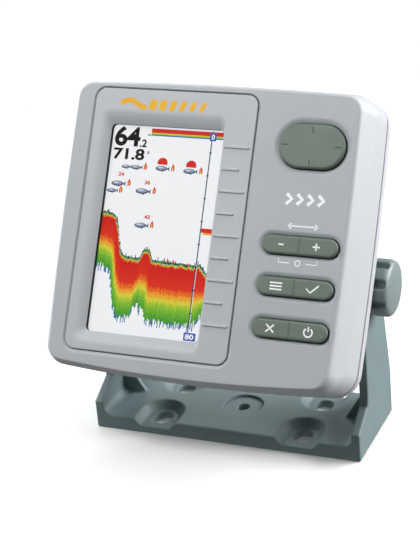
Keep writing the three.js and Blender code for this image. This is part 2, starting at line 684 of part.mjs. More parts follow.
place(face, "front_case", frontCase(), silver);
place(face, "screen_bezel", screenBezel(), bezelSilver);
const windowOutline = roundedRect(BEZEL.width - 7.6, BEZEL.height - 8.6, 2.4, BEZEL.x, 0);
place(face, "screen_window", slab(windowOutline, BEZEL.thickness + GAP, 4.4, 1), clear);
const panelOutline = roundedRect(LCD.width, LCD.height, 0.6, SCREEN.x, SCREEN.up);
place(face, "lcd_panel", slab(panelOutline, LCD.front, LCD.front + 1.4, 1), displayWhite);
place(face, "light_guide", slab(panelOutline, LCD.front + 1.7, 9.9, 1), acrylic);
place(face, "lcd_frame", lcdFrame(), steel);
place(face, "flex_ribbon", flexRibbon(), ribbonOrange);

place(face, "dpad", dpad(), keyGreen);
place(face, "dpad_pivot", dpadPivot(), blackPlastic);
for (const [name, up] of Object.entries(ROCKER_ROWS)) place(face, name, rockerKey(up), keyGreen);
place(face, "keypad_mat", keypadMat(), silicone);
place(face, "keypad_board", keypadBoard(), boardGreen);

place(face, "main_board", mainBoard(), boardGreen);
place(face, "processor_chip", chip(PROCESSOR), blackPlastic);
place(face, "memory_chip", chip(MEMORY), blackPlastic);
place(face, "transformer_core", transformerCore(), ferrite);
place(face, "transformer_coil", transformerCoil(), copper);
place(face, "capacitor_1", capacitor(CAPACITOR.near), blackPlastic);
place(face, "capacitor_2", capacitor(CAPACITOR.far), blackPlastic);
place(face, "buzzer", buzzer(), blackPlastic);
place(face, "heat_sink", heatSink(), aluminium);
BOARD_POSTS.forEach(([x, up], i) => place(face, `board_screw_${i + 1}`, boardScrew(x, up), steel));

place(face, "rear_case", rearCase(), rearSilver);
place(face, "case_gasket", caseGasket(), rubber);
CASE_SCREWS.forEach(([x, up], i) => place(face, `case_screw_${i + 1}`, caseScrew(x, up), steel));

for (const [label, side] of [["power", -1], ["transducer", 1]]) {
  const x = side * SOCKET.x;
  place(face, `${label}_socket_shell`, socketShell(x), blackPlastic);
  place(face, `${label}_socket_core`, socketCore(x, SOCKET_PINS[label]), blackPlastic);
  place(face, `${label}_socket_nut`, socketNut(x), blackPlastic);
  pinPlaces(x, SOCKET_PINS[label]).forEach(([px, up], i) => {
    place(face, `${label}_pin_${i + 1}`, bar(PIN.radius, px, up, PIN.start, PIN.end, 8), brass);
  });
}

// The object is centred front to back on its own outline
root.updateMatrixWorld(true);
const outline = new THREE.Box3().setFromObject(root, true);
const group = new THREE.Group();
root.position.y = -(outline.min.y + outline.max.y) / 2;
group.add(root);

export default group;
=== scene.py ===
# Fish finder: the visible surfaces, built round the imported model. Lengths are in millimetres in the
# shape functions and become metres when a piece is made.
import json
from math import cos, exp, hypot, pi, radians, sin, sqrt
from types import SimpleNamespace as Sizes

import bmesh
import bpy
import numpy as np
from mathutils import Matrix, Vector, geometry


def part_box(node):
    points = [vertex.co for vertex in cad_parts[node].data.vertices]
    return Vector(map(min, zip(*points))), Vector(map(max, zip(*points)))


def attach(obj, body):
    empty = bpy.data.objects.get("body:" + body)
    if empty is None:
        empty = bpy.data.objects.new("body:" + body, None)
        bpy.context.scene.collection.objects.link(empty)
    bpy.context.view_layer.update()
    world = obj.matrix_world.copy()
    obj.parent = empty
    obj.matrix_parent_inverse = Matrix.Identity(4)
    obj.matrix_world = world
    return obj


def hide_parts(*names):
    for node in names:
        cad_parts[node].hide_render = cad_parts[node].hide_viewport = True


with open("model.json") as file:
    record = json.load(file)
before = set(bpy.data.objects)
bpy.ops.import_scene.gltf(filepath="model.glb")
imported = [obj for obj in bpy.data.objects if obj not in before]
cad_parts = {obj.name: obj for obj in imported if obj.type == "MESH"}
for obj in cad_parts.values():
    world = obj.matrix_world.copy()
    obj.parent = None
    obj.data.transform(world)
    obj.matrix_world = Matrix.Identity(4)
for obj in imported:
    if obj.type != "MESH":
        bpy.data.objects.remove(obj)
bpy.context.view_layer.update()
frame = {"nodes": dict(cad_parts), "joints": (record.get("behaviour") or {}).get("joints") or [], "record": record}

MM = 0.001
NODES = frame["nodes"]
JOINTS = {joint["name"]: joint for joint in frame["joints"]}

# The head's own axes: X to the right, Y the depth behind its front plane and Z up its face
RIGHT = Vector((1, 0, 0))
UP = Vector(JOINTS["menu_key_rock"]["axis"]).normalized()
REAR = UP.cross(RIGHT)
PIVOT = Vector(JOINTS["head_tilt"]["pos_m"])


def placed(origin, columns):
    """The matrix from millimetres along three axes to the row frame in metres."""
    turn = Matrix(columns).transposed().to_4x4()
    return Matrix.Translation(origin) @ turn @ Matrix.Scale(MM, 4)


def spread(node, place):
    """Lowest and highest corner of a CAD node, in millimetres along the axes of a place."""
    back = place.inverted()
    points = np.array([back @ v.co for v in NODES[node].data.vertices])
    return points.min(0), points.max(0)


LEANING = placed(PIVOT, (RIGHT, REAR, UP))
FRONT = spread("front_case", LEANING)[0][1]
BEZEL_LOW, BEZEL_HIGH = spread("screen_bezel", LEANING)
FACE = LEANING @ Matrix.Translation((0, FRONT, (BEZEL_LOW[2] + BEZEL_HIGH[2]) / 2))
BRACKET_LOW, BRACKET_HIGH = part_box("bracket")
BASE_MIDDLE = Vector((0, (BRACKET_LOW.y + BRACKET_HIGH.y) / 2, 0))
BASE = placed(BASE_MIDDLE, (RIGHT, Vector((0, 1, 0)), Vector((0, 0, 1))))

# Driving dimensions of the visible surfaces. Margins are for the left, right, low and high side.
CASE = Sizes(
    half=72.0, top=65.6, bottom=-67.2, corner=10.5, side_crown=0.9, top_crown=1.3, bottom_crown=3.2,
    wall=3.0, rear=28.2, rear_edge=0.25,
)
CASE_INSIDE = (5.7, 7.2, 5.2)
EDGE = Sizes(side=1.1, side_depth=1.3, top=1.3, top_depth=1.8, soften=1.7, chin=0.5, chin_depth=0.5)
BEVEL = Sizes(bottom=1.9, depth=6.0)
FLARE = Sizes(side=3.7, top=3.2, crease=13.5, left_at_crease=0.12)
BEZEL = Sizes(x=-19.3, width=79.6, height=120.6, corner=5.0, thickness=2.6, gap=0.3, edge=0.45)
LEDGE = Sizes(side=3.3, end=3.8, corner=3.0, back=4.9, rib=3.5, rib_corner=5.0)
OPENING = Sizes(left=-50.5, right=5.3, low=-51.6, high=44.3, corner=2.2, lip=2.3, turn=0.12, wall=-0.15)
DISH_MARGINS = (6.2, 1.4, 6.0, 6.8)
DISH = Sizes(corner=3.0, fall=2.1)
MASK_MARGINS = (3.5, 3.2, 3.6, 3.4)
MASK = Sizes(corner=1.0, front=4.45, back=5.2, clear=0.05)
TICKS = Sizes(count=9, top=36.4, pitch=9.96, x=7.0, long=12.0, short=8.3, height=1.0, proud=0.7)
KEY_X = 48.1
KEY_ROWS = {"range_key": -4.9, "menu_key": -23.2, "exit_key": -41.7}
ROCKER = Sizes(width=34.9, height=8.2, proud=1.4, edge=0.95, gap=0.45, well=2.1, well_depth=1.0, back=5.1)
DPAD = Sizes(
    up=39.0, width=30.4, height=19.7, proud=1.5, edge=1.1, gap=0.55,
    well=2.6, well_depth=1.1, back=5.1,
)
WELL_LIP = Sizes(turn=0.25, inset=0.08)
KEY = Sizes(foot=0.75, foot_top=4.3, skirt=0.02, waist=0.8, crown=0.06, groove=0.22, groove_half=0.45)
PICTURE = 5.26
LIP = Sizes(front=29.6, back=35.4, round=1.4, bevel=0.3)
BODY = Sizes(
    width=120.8, height=110.0, up=-3.0, corner=16.0, flat=61.5, end=70.0, wall=2.6,
    root=1.5, inside_round=6.5,
)
SOCKET = Sizes(x=22.0, up=-34.0, radius=9.0)
# Holes cut in the rear moulding: a radius and a length
SOCKET_HOLE = (SOCKET.radius + 0.3, 8)
PIVOT_HOLE = (4.8, 12)
SCREW_HOLE = (3.2, 5.2)
PIVOT_HOLE_X = 60


# Materials
def linear(red, green, blue):
    """A colour given in 0 to 255 as linear light."""
    shares = (c / 255 for c in (red, green, blue))
    return tuple(c / 12.92 if c <= 0.04045 else ((c + 0.055) / 1.055) ** 2.4 for c in shares) + (1.0,)


def scaled(colour, by):
    return tuple(min(c * by, 1.0) for c in colour[:3]) + (1.0,)


def noise(tree, scale, detail=3.0):
    """A noise texture in the object's own coordinates, which are metres."""
    place = tree.nodes.new("ShaderNodeTexCoord")
    texture = tree.nodes.new("ShaderNodeTexNoise")
    give(texture, Scale=scale, Detail=detail)
    tree.links.new(place.outputs["Object"], texture.inputs["Vector"])
    return texture.outputs["Fac"]


def ramp(tree, source, low, high):
    """A source spread between two colours."""
    node = tree.nodes.new("ShaderNodeValToRGB")
    for element, place, colour in zip(node.color_ramp.elements, (0.35, 0.65), (low, high)):
        element.position = place
        element.color = colour
    tree.links.new(source, node.inputs["Fac"])
    return node.outputs["Color"]


def give(node, **values):
    """Sets the inputs of a shader node. An underscore in a name stands for a space."""
    for key, value in values.items():
        node.inputs[key.replace("_", " ")].default_value = value


def between(tree, source, start, end, low, high):
    """A source's stretch from start to end spread over another one."""
    node = tree.nodes.new("ShaderNodeMapRange")
    give(node, From_Min=start, From_Max=end, To_Min=low, To_Max=high)
    tree.links.new(source, node.inputs["Value"])
    return node.outputs["Result"]


CLOUD_SCALE = 45
GRAIN_HEIGHT = 0.06
UNEVEN = 0.05


def surface(
    name, colour, roughness, grain=0.0, grain_size=0.45, vary=0.05, metallic=0.0, coat=0.0, gloss=0.5
):
    """A moulded, painted or machined surface: cloudy tint, uneven gloss and a fine raised grain."""
    material = bpy.data.materials.new(name)
    material.use_nodes = True
    tree = material.node_tree
    shader = tree.nodes["Principled BSDF"]
    give(shader, Metallic=metallic, Coat_Weight=coat, Coat_Roughness=0.25, Specular_IOR_Level=gloss)
    tint = ramp(tree, noise(tree, CLOUD_SCALE), scaled(colour, 1 - vary), scaled(colour, 1 + vary))
    tree.links.new(tint, shader.inputs["Base Color"])
    speck = noise(tree, 1 / (grain_size * MM), 2)
    uneven = between(tree, speck, 0.3, 0.7, roughness - UNEVEN, roughness + UNEVEN)
    tree.links.new(uneven, shader.inputs["Roughness"])
    if grain:
        bump = tree.nodes.new("ShaderNodeBump")
        give(bump, Strength=grain, Distance=GRAIN_HEIGHT * MM)
        tree.links.new(speck, bump.inputs["Height"])
        tree.links.new(bump.outputs["Normal"], shader.inputs["Normal"])
    return material


def lit(name, red, green, blue):
    """A lit part of the display's picture: mostly its own light, with a little from the room."""
    colour = linear(red, green, blue)
    material = surface(name, scaled(colour, 0.2), 0.5, vary=0.02)
    shader = material.node_tree.nodes["Principled BSDF"]
    give(shader, Specular_IOR_Level=0.04, Emission_Color=colour, Emission_Strength=0.83)
    return material


FINISHES = {}


def finish(name, red, green, blue, roughness, **more):
    FINISHES[name] = surface(name, linear(red, green, blue), roughness, **more)
    return FINISHES[name]


# A finish for each material slot
finish("bracket_grey", 114, 132, 134, 0.5, grain=0.5, grain_size=0.6, vary=0.03, gloss=0.35)
finish("case_silver", 178, 183, 187, 0.5, grain=0.25, vary=0.012, gloss=0.45)
finish("bezel_silver", 184, 187, 191, 0.45, grain=0.2, vary=0.012, gloss=0.45)
# A slightly lighter, bluer copy of the case's silver: painted light for the bright light on the rear moulding's
# sides
finish("rear_silver", 188, 189, 194, 0.5, grain=0.25, vary=0.012, gloss=0.45)
finish("key_green", 99, 114, 103, 0.5, grain=0.6, grain_size=0.5)
finish("acrylic", 240, 241, 238, 0.2, vary=0.02)
finish("steel", 196, 198, 200, 0.28, grain=0.15, grain_size=0.2, vary=0.04, metallic=1.0)
finish("brass", 206, 172, 92, 0.28, grain=0.15, grain_size=0.2, metallic=1.0)
finish("board_green", 30, 92, 60, 0.4, grain=0.3, vary=0.12, coat=0.4)
finish("black_plastic", 34, 35, 38, 0.45, grain=0.4, vary=0.06)
finish("rubber", 38, 39, 40, 0.8, grain=0.6, grain_size=0.3, vary=0.08)
finish("silicone", 150, 156, 148, 0.7, grain=0.3, vary=0.04)
finish("ribbon", 186, 118, 46, 0.35, vary=0.08, coat=0.3)
finish("ferrite", 62, 63, 66, 0.65, grain=0.6, vary=0.1)
finish("copper", 190, 118, 72, 0.35, grain=0.5, grain_size=0.7, vary=0.1, metallic=1.0)
finish("aluminium", 182, 186, 190, 0.32, grain=0.2, metallic=1.0)
give(finish("window_clear", 150, 156, 160, 0.1, vary=0.01).node_tree.nodes["Principled BSDF"], Alpha=0.012)
FINISHES["display"] = lit("display", 240, 241, 243)
# And for the details
KNOB_GREY = finish("knob_grey", 121, 136, 134, 0.38, grain=0.3, grain_size=0.6, vary=0.03)
# Painted shade and painted highlight: dark and light lines that stand for the shaded and lit sides of the pad's
# raised wedges
PAD_PAINTED_SHADE = finish("pad_mark_painted_shade", 58, 70, 64, 0.6, vary=0.03)
PAD_PAINTED_HIGHLIGHT = finish("pad_mark_painted_highlight", 136, 148, 138, 0.6, vary=0.03)
PRINT_WHITE = finish("print_white", 252, 253, 253, 0.45, vary=0.01)
PRINT_GOLD = finish("print_gold", 236, 176, 4, 0.45, gloss=0.25)
# Painted shade: a dark colour for the shade inside the screen opening, on the bezel's opening wall and the mask
# behind it
OPENING_PAINTED_SHADE = finish("opening_painted_shade", 46, 58, 57, 0.5)
for entry in frame["record"]["subparts"]:
    node = NODES[entry["node"]]
    node.data.materials.clear()
    node.data.materials.append(FINISHES[entry["material_slot"]])


# Mesh building
class Skin:
    """Points and faces of one piece, mostly bands between closed loops of equal length."""

    def __init__(self):
        self.points = []
        self.faces = []
        self.finish_of = []
        self.finish = 0

    def loop(self, points):
        start = len(self.points)
        self.points.extend(points)
        return list(range(start, len(self.points)))

    def face(self, corners):
        self.faces.append(corners)
        self.finish_of.append(self.finish)

    def band(self, near, far):
        for i, j in zip(range(len(near)), [*range(1, len(near)), 0]):
            self.face((near[i], near[j], far[j], far[i]))

    def bands(self, loops):
        """Joins each list of points to the next one, and gives the first and last loops back."""
        rings = [self.loop(points) for points in loops]
        for near, far in zip(rings, rings[1:]):
            self.band(near, far)
        return rings[0], rings[-1]

    def flat(self, outer, *holes):
        """Fills a flat stretch that may have holes in it."""
        rings = [outer, *holes]
        corners = [index for ring in rings for index in ring]
        shapes = [[Vector(self.points[i]) for i in ring] for ring in rings]
        for triangle in geometry.tessellate_polygon(shapes):
            self.face(tuple(corners[i] for i in triangle))


def add(name, data):
    made = bpy.data.objects.new(name, data)
    bpy.context.scene.collection.objects.link(made)
    return made


def finish_mesh(mesh, crease):
    shape = bmesh.new()
    shape.from_mesh(mesh)
    bmesh.ops.remove_doubles(shape, verts=shape.verts, dist=2e-6)
    bmesh.ops.dissolve_degenerate(shape, edges=shape.edges, dist=1e-7)
    bmesh.ops.recalc_face_normals(shape, faces=shape.faces)
    shape.to_mesh(mesh)
    shape.free()
    mesh.shade_smooth()
    mesh.set_sharp_from_angle(angle=radians(crease))


def piece(name, skin, place, body, slot, replaces=(), materials=(), crease=38):
    """A piece of the object in its slot's finish or in other ones, riding on its body."""
    mesh = bpy.data.meshes.new(name)
    mesh.from_pydata([place @ Vector(p) for p in skin.points], [], skin.faces)
    mesh.polygons.foreach_set("material_index", skin.finish_of)
    for material in materials or [FINISHES[slot]]:
        mesh.materials.append(material)
    finish_mesh(mesh, crease)
    made = add(name, mesh)
    made.modifiers.new("even_normals", "WEIGHTED_NORMAL").keep_sharp = True
    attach(made, body)
    if replaces:
        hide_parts(*replaces)
    return made


# Outlines: lists of (x, z) points in the head's axes
def arc(x, z, radius, start, end, steps):
    angles = (radians(start + (end - start) * i / steps) for i in range(steps + 1))
    return [(x + radius * cos(a), z + radius * sin(a)) for a in angles]


def bend(end, steps):
    """Steps round an edge up to an angle: the shares of its radius drawn in and gone along."""
    angles = (radians(end * i / steps) for i in range(steps + 1))
    return [(1 - cos(a), sin(a)) for a in angles]


def rounded(left, right, low, high, radius, steps=8, side=1):
    """A rounded rectangle, anticlockwise, with its straight sides cut into equal steps."""
    radius = max(radius, 0.02)
    corners = [
        arc(right - radius, high - radius, radius, 0, 90, steps),
        arc(left + radius, high - radius, radius, 90, 180, steps),
        arc(left + radius, low + radius, radius, 180, 270, steps),
        arc(right - radius, low + radius, radius, 270, 360, steps),
    ]
    points = []
    for corner, after in zip(corners, corners[1:] + corners[:1]):
        (x0, z0), (x1, z1) = corner[-1], after[0]
        points += corner
        points += [(x0 + (x1 - x0) * i / side, z0 + (z1 - z0) * i / side) for i in range(1, side)]
    return points


def at(depth, outline):
    return [(x, depth, z) for x, z in outline]


def case_outline(side, top, bottom, soften=0.0, steps=10):
    """The head's outline drawn in by three amounts, with a crown on every side. It is drawn in further
    towards the bottom by soften."""
    half, high, low = CASE.half - side, CASE.top - top, CASE.bottom + bottom
    radius = max(CASE.corner - side, 2)
    points = []
    for x, z in rounded(-half, half, low, high, radius, steps, side=14):
        across = 1 - (x / half) ** 2
        along = 1 - (2 * (z - low) / (high - low) - 1) ** 2
        lift = CASE.top_crown * z / high if z > 0 else -CASE.bottom_crown * z / low
        share = (CASE.side_crown * along - soften * (high - z) / (high - low)) * x / half
        points.append((x + share, z + across * lift))
    return points


def quarter(size, span, depth):
    """How far a rounded edge is still drawn in at a depth."""
    left = 1 - min(depth / span, 1)
    return size * (1 - sqrt(1 - left * left))


def flare(amount, depth):
    """The case widens quickly to the crease along its side, and slowly from there to the rear."""
    crease, rest = FLARE.crease, FLARE.left_at_crease
    if depth < crease:
        return amount * (1 - (1 - rest) * depth / crease)
    return amount * rest * max(0, 1 - (depth - crease) / (CASE.rear - crease))


def front_outline(depth):
    bevel = BEVEL.bottom * max(1 - depth / BEVEL.depth, 0)
    soft_reach = EDGE.side_depth + 2 * EDGE.soften
    return case_outline(
        quarter(EDGE.side, EDGE.side_depth, depth) + flare(FLARE.side, depth),
        quarter(EDGE.top, EDGE.top_depth, depth) + flare(FLARE.top, depth),
        quarter(EDGE.chin, EDGE.chin_depth, depth) + bevel,
        quarter(EDGE.soften, soft_reach, depth),
    )


def stadium(size, grow, x, z, columns=()):
    """A slot-shaped outline grown by an amount, with points at chosen places on its straight sides."""
    radius = size.height / 2 + grow
    reach = (size.width - size.height) / 2
    sides = sorted(c for c in columns if abs(c) < reach)
    right = arc(x + reach, z, radius, -90, 90, 18)
    left = arc(x - reach, z, radius, 90, 270, 18)
    top = [(x + c, z + radius) for c in reversed(sides)]
    low = [(x + c, z - radius) for c in sides]
    return right + top + left + low


# Head: front moulding
def well_loops(size, x, z, wall):
    """A soft dip round a key, then a rounded lip and the wall of its opening."""
    loops = []
    steps = 8
    for i in range(steps + 1):
        share = i / steps
        outline = stadium(size, size.gap + size.well * (1 - share), x, z)
        loops.append(at(size.well_depth * share ** 2, outline))
    opening = stadium(size, size.gap - WELL_LIP.inset, x, z)
    loops.append(at(size.well_depth + WELL_LIP.turn, opening))
    loops.append(at(wall, opening))
    return loops


def recess_outline(left, right, low, high):
    """The bezel's outline grown by an amount on each side."""
    half, up, x = BEZEL.width / 2, BEZEL.height / 2, BEZEL.x
    corner = BEZEL.corner + (left + right + low + high) / 4
    return rounded(x - half - left, x + half + right, -up - low, up + high, corner)


# The shoulder round the bezel: (share of its width, depth) pairs, and its left, right, low and high width
SHOULDER = ((1, 0), (0.92, 0.02), (0.8, 0.1), (0.2, 0.66), (0.08, 0.8), (0, 1.0))
SHOULDER_WIDTHS = (1.0, 1.1, 1.6, 0.5)


def recess_loops():
    """The rounded shoulder round the bezel, wider below, and the wall down to its ledge."""
    gap = BEZEL.gap
    loops = []
    for out, depth in SHOULDER:
        margins = [gap + width * out for width in SHOULDER_WIDTHS]
        loops.append(at(depth, recess_outline(*margins)))
    loops.append(at(BEZEL.thickness + gap, recess_outline(gap, gap, gap, gap)))
    return loops


FRONT_DEPTHS = [0, 0.05, 0.15, 0.3, 0.5, 0.8, 1.2, 1.7, 2.4, 3.4, 4.7, 5.9, 6, 6.1, 8, 11, 13, 13.5, 14, 18]
FRONT_DEPTHS += [23, CASE.rear - 0.5]


def front_shell():
    skin = Skin()
    loops = [at(depth, front_outline(depth)) for depth in FRONT_DEPTHS]
    for inset in (CASE.rear_edge, CASE.wall):
        loops.append(at(CASE.rear, case_outline(inset, inset, inset)))
    wall = CASE.wall
    loops.append(at(wall, case_outline(*CASE_INSIDE)))
    face, inside = skin.bands(loops)
    shoulders, backs = [], []
    for size, up in [(DPAD, DPAD.up)] + [(ROCKER, up) for up in KEY_ROWS.values()]:
        first, last = skin.bands(well_loops(size, KEY_X, up, wall))
        shoulders.append(first)
        backs.append(last)
    first, ledge = skin.bands(recess_loops())
    shoulders.append(first)
    left = BEZEL.x - BEZEL.width / 2 + LEDGE.side
    right = BEZEL.x + BEZEL.width / 2 - LEDGE.side
    up = BEZEL.height / 2 - LEDGE.end
    window = rounded(left, right, -up, up, LEDGE.corner)
    inner, back = skin.bands([at(BEZEL.thickness + BEZEL.gap, window), at(LEDGE.back, window)])
    skin.flat(ledge, inner)
    skin.flat(face, *shoulders)
    rib = LEDGE.rib
    outer = rounded(left - rib, right + rib, -up - rib, up + rib - 1, LEDGE.rib_corner)
    ledge_back, ledge_root = skin.bands([at(LEDGE.back, outer), at(wall, outer)])
    skin.flat(ledge_back, back)
    skin.flat(inside, ledge_root, *backs)
    piece("front_shell", skin, FACE, "head", "case_silver", ["front_case"])


# Head: dished bezel with raised tick ribs beside the screen opening
def opening_outline(left, right, low, high, corner):
    sides = OPENING.left - left, OPENING.right + right, OPENING.low - low, OPENING.high + high
    return rounded(*sides, corner)


def tick_loops(index):
    long = index % 2 == 0
    length = TICKS.long if long else TICKS.short
    up = TICKS.top - index * TICKS.pitch
    half = TICKS.height / 2
    loops = []
    for grow, rise in [(0.22, 0), (0.1, 0.1), (0.02, 0.28), (-0.06, 0.42), (-0.2, TICKS.proud)]:
        left, right = TICKS.x - grow, TICKS.x + length + grow
        loops.append(at(-rise, rounded(left, right, up - half - grow, up + half + grow, 0.3 + grow, 3)))
    return loops


def bezel():
    skin = Skin()
    loops = [at(BEZEL.thickness, recess_outline(0, 0, 0, 0))]
    edge = BEZEL.edge
    for drawn, gone in bend(90, 4):
        loops.append(at(edge * (1 - gone), recess_outline(*[-edge * drawn] * 4)))
    back_outer, face = skin.bands(loops)
    dish = []
    steps = 10
    for i in range(steps + 1):
        share = 1 - i / steps
        depth = OPENING.lip * (1 - share) ** DISH.fall
        margins = [margin * share for margin in DISH_MARGINS]
        dish.append(at(depth, opening_outline(*margins, OPENING.corner + DISH.corner * share)))
    wall = opening_outline(*[OPENING.wall] * 4, OPENING.corner)
    dish.append(at(OPENING.lip + OPENING.turn, wall))
    rim, lip = skin.bands(dish)
    ticks = []
    for i in range(TICKS.count):
        foot, top = skin.bands(tick_loops(i))
        skin.flat(top)
        ticks.append(foot)
    skin.flat(face, rim, *ticks)
    # The opening's wall takes the painted shade colour
    skin.finish = 1
    back_inner = skin.loop(at(BEZEL.thickness, wall))
    skin.band(lip, back_inner)
    skin.finish = 0
    skin.flat(back_outer, back_inner)
    materials = [FINISHES["bezel_silver"], OPENING_PAINTED_SHADE]
    piece("bezel", skin, FACE, "head", "bezel_silver", ["screen_bezel"], materials)


def screen_mask():
    """The dark frame between the window and the display, which lines the opening; its colour is painted shade, the
    same as the opening's wall.
    """
    skin = Skin()
    near, far = MASK.front, MASK.back
    outer = opening_outline(*MASK_MARGINS, MASK.corner)
    inner = opening_outline(*[MASK.clear] * 4, OPENING.corner)
    outer_front, outer_back = skin.bands([at(near, outer), at(far, outer)])
    inner_front, inner_back = skin.bands([at(near, inner), at(far, inner)])
    skin.flat(outer_front, inner_front)
    skin.flat(outer_back, inner_back)
    piece("screen_mask", skin, FACE, "head", "black_plastic", (), [OPENING_PAINTED_SHADE])


# Keys, and where a cap's outline has points: closely across a rocker's groove, sparsely on the pad
GROOVE_COLUMNS = [-9, -5, -2, -0.55, -0.4, -0.25, -0.1, 0.1, 0.25, 0.4, 0.55, 2, 5, 9]
PAD_COLUMNS = [-4, 0, 4]


def key_cap(name, node, size, up, groove):
    """A key with a rounded edge and a slightly domed top. A rocker has a fine groove across its middle."""
    columns = GROOVE_COLUMNS if groove else PAD_COLUMNS
    skin = Skin()
    proud, radius, edge = size.proud, size.height / 2, size.edge

    def ring(grow, depth):
        points = []
        for x, z in stadium(size, grow, KEY_X, up, columns):
            near = abs(x - KEY_X) / KEY.groove_half
            cut = KEY.groove * max(0, 1 - near ** 2) if groove and depth < 0 else 0
            points.append((x, depth + cut, z))
        return points

    loops = [ring(KEY.foot, size.back), ring(KEY.foot, KEY.foot_top)]
    loops += [ring(KEY.skirt, KEY.foot_top - 0.05), ring(0, KEY.waist), ring(0, edge - proud)]
    loops += [ring(-edge * drawn, edge - proud - edge * gone) for drawn, gone in bend(84, 7)[1:]]
    for share in (0.3, 0.5, 0.7, 0.88, 0.985):
        fall = KEY.crown * (1 - sin(pi * min(share, 0.5)))
        loops.append(ring(-radius * share, -proud - fall))
    back, top = skin.bands(loops)
    skin.flat(back)
    skin.face(tuple(top))
    piece(name, skin, FACE, node, "key_green", [node])


# Printed marks: flat shapes a little proud of the surface behind them
def plate(skin, outline, front, thickness=0.03):
    near, far = skin.bands([at(front, outline), at(front + thickness, outline)])
    skin.flat(near)
    skin.flat(far)


def stroke(points, width):
    """The outline of a line of a given width through two or more points."""
    half = width / 2
    left, right = [], []
    for i, (x, z) in enumerate(points):
        (x0, z0), (x1, z1) = points[max(i - 1, 0)], points[min(i + 1, len(points) - 1)]
        length = hypot(x1 - x0, z1 - z0)
        nx, nz = -(z1 - z0) / length * half, (x1 - x0) / length * half
        left.append((x + nx, z + nz))
        right.append((x - nx, z - nz))
    return left + right[::-1]


def marks(name, body, material, outlines, front, slot="key_green"):
    skin = Skin()
    for outline in outlines:
        plate(skin, outline, front)
    piece(name, skin, FACE, body, slot, (), [material])


# Signs on the keys: lines measured from the middle of their key
SIGN_STROKE = 0.72
SIGN_PROUD = 0.09
SIGNS = {
    "range": [[(-9.5, 0), (-7.1, 0)], [(6.2, 0), (9.4, 0)], [(7.8, -1.6), (7.8, 1.6)]],
    "menu": [*([(-11.2, z), (-5.6, z)] for z in (-1.4, 0, 1.4)), [(5.6, 0.1), (7.5, -1.6), (11.2, 1.8)]],
    "exit": [
        [(-10.6, -1.7), (-7.0, 1.7)],
        [(-10.6, 1.7), (-7.0, -1.7)],
        arc(8.8, -0.2, 1.9, 125, 415, 18),
        [(8.8, 0.1), (8.8, 2.3)],
    ],
}
# The pad's four dark ticks, painted shade for the shaded sides of its raised wedges, and the light lines beside
# them, painted highlight for their lit sides: name, colour, shift and width
PAD_TICKS = (("pad_painted_shade_marks", PAD_PAINTED_SHADE, 0.0, 0.66), ("pad_painted_highlights", PAD_PAINTED_HIGHLIGHT, 0.42, 0.45))
PAD_INSET, PAD_ACROSS, PAD_ALONG = 1.5, 3.0, 2.4


def key_marks():
    for label, sign in SIGNS.items():
        row = KEY_ROWS[f"{label}_key"]
        lines = [[(KEY_X + x, row + z) for x, z in line] for line in sign]
        shapes = [stroke(line, SIGN_STROKE) for line in lines]
        marks(f"{label}_marks", f"{label}_key", PRINT_WHITE, shapes, -ROCKER.proud - SIGN_PROUD)
    up = DPAD.up
    reach, rise = DPAD.width / 2 - PAD_INSET, DPAD.height / 2 - PAD_INSET
    for name, material, shift, width in PAD_TICKS:
        x, z = KEY_X + shift, up - shift
        lines = [[(KEY_X + s * reach, z), (KEY_X + s * (reach - PAD_ACROSS), z)] for s in (-1, 1)]
        lines += [[(x, up + s * rise), (x, up + s * (rise - PAD_ALONG))] for s in (-1, 1)]
        marks(name, "dpad", material, [stroke(line, width) for line in lines], -DPAD.proud - SIGN_PROUD)


# Signs on the silver face, in the head's axes: each line with its width
WAVE = [(x, 53.6 + 1.5 * sin((x + 46) / 2.5)) for x in np.linspace(-46.3, -33.5, 40)]
GOLD_LINES = [(WAVE, 2.3)]
GOLD_LINES += [([(4.9 * i - 31, 51.2), (4.9 * i - 29.2, 55.6)], 3.4 - 0.3 * i) for i in range(6)]
WHITE_LINES = [([(x, 17.7), (x + 2.5, 15.4), (x, 13.1)], 1.6) for x in (39.1, 44.0, 48.9, 53.8)]
WHITE_LINES += [
    ([(42.4, 3.7), (54.2, 3.7)], 0.6),
    ([(43.0, 4.9), (41.4, 3.7), (43.0, 2.5)], 0.6),
    ([(53.6, 4.9), (55.2, 3.7), (53.6, 2.5)], 0.6),
    ([(39.0, -10.9), (39.0, -12.6), (44.0, -12.6)], 0.45),
    ([(56.6, -10.9), (56.6, -12.6), (51.6, -12.6)], 0.45),
    (arc(47.8, -12.5, 1.2, 0, 350, 16), 0.5),
]
PRINT_DEPTH = -0.035


def face_marks():
    """Plain signs on the silver face: a gold wave with stripes, chevrons, an arrow and a brace line."""
    gold = [stroke(*line) for line in GOLD_LINES]
    marks("gold_mark", "head", PRINT_GOLD, gold, PRINT_DEPTH, "bezel_silver")
    white = [stroke(*line) for line in WHITE_LINES]
    marks("white_marks", "head", PRINT_WHITE, white, PRINT_DEPTH, "case_silver")


# The display's picture
INK = lit("ink_black", 6, 6, 8)
SIGN_RED = lit("sign_red", 206, 42, 34)
LINE_BLUE = lit("line_blue", 56, 62, 92)
BOX_BLUE = lit("box_blue", 52, 88, 178)
SIGN_WHITE = lit("sign_white", 240, 241, 243)
WEED = lit("weed_green", 44, 74, 44)
BAND = [(0.0, (200, 30, 24)), (0.34, (214, 50, 26)), (0.46, (232, 130, 38)), (0.56, (226, 204, 62))]
BAND += [(0.7, (132, 186, 50)), (0.92, (72, 152, 50)), (1.0, (60, 112, 176))]


def band_colour(share):
    """The colour of an echo by its place in the band: red where it is strong, blue where it fades."""
    for (low, before), (high, after) in zip(BAND, BAND[1:]):
        if share <= high:
            part = (share - low) / (high - low)
            return [a + (b - a) * part for a, b in zip(before, after)]
    return BAND[-1][1]


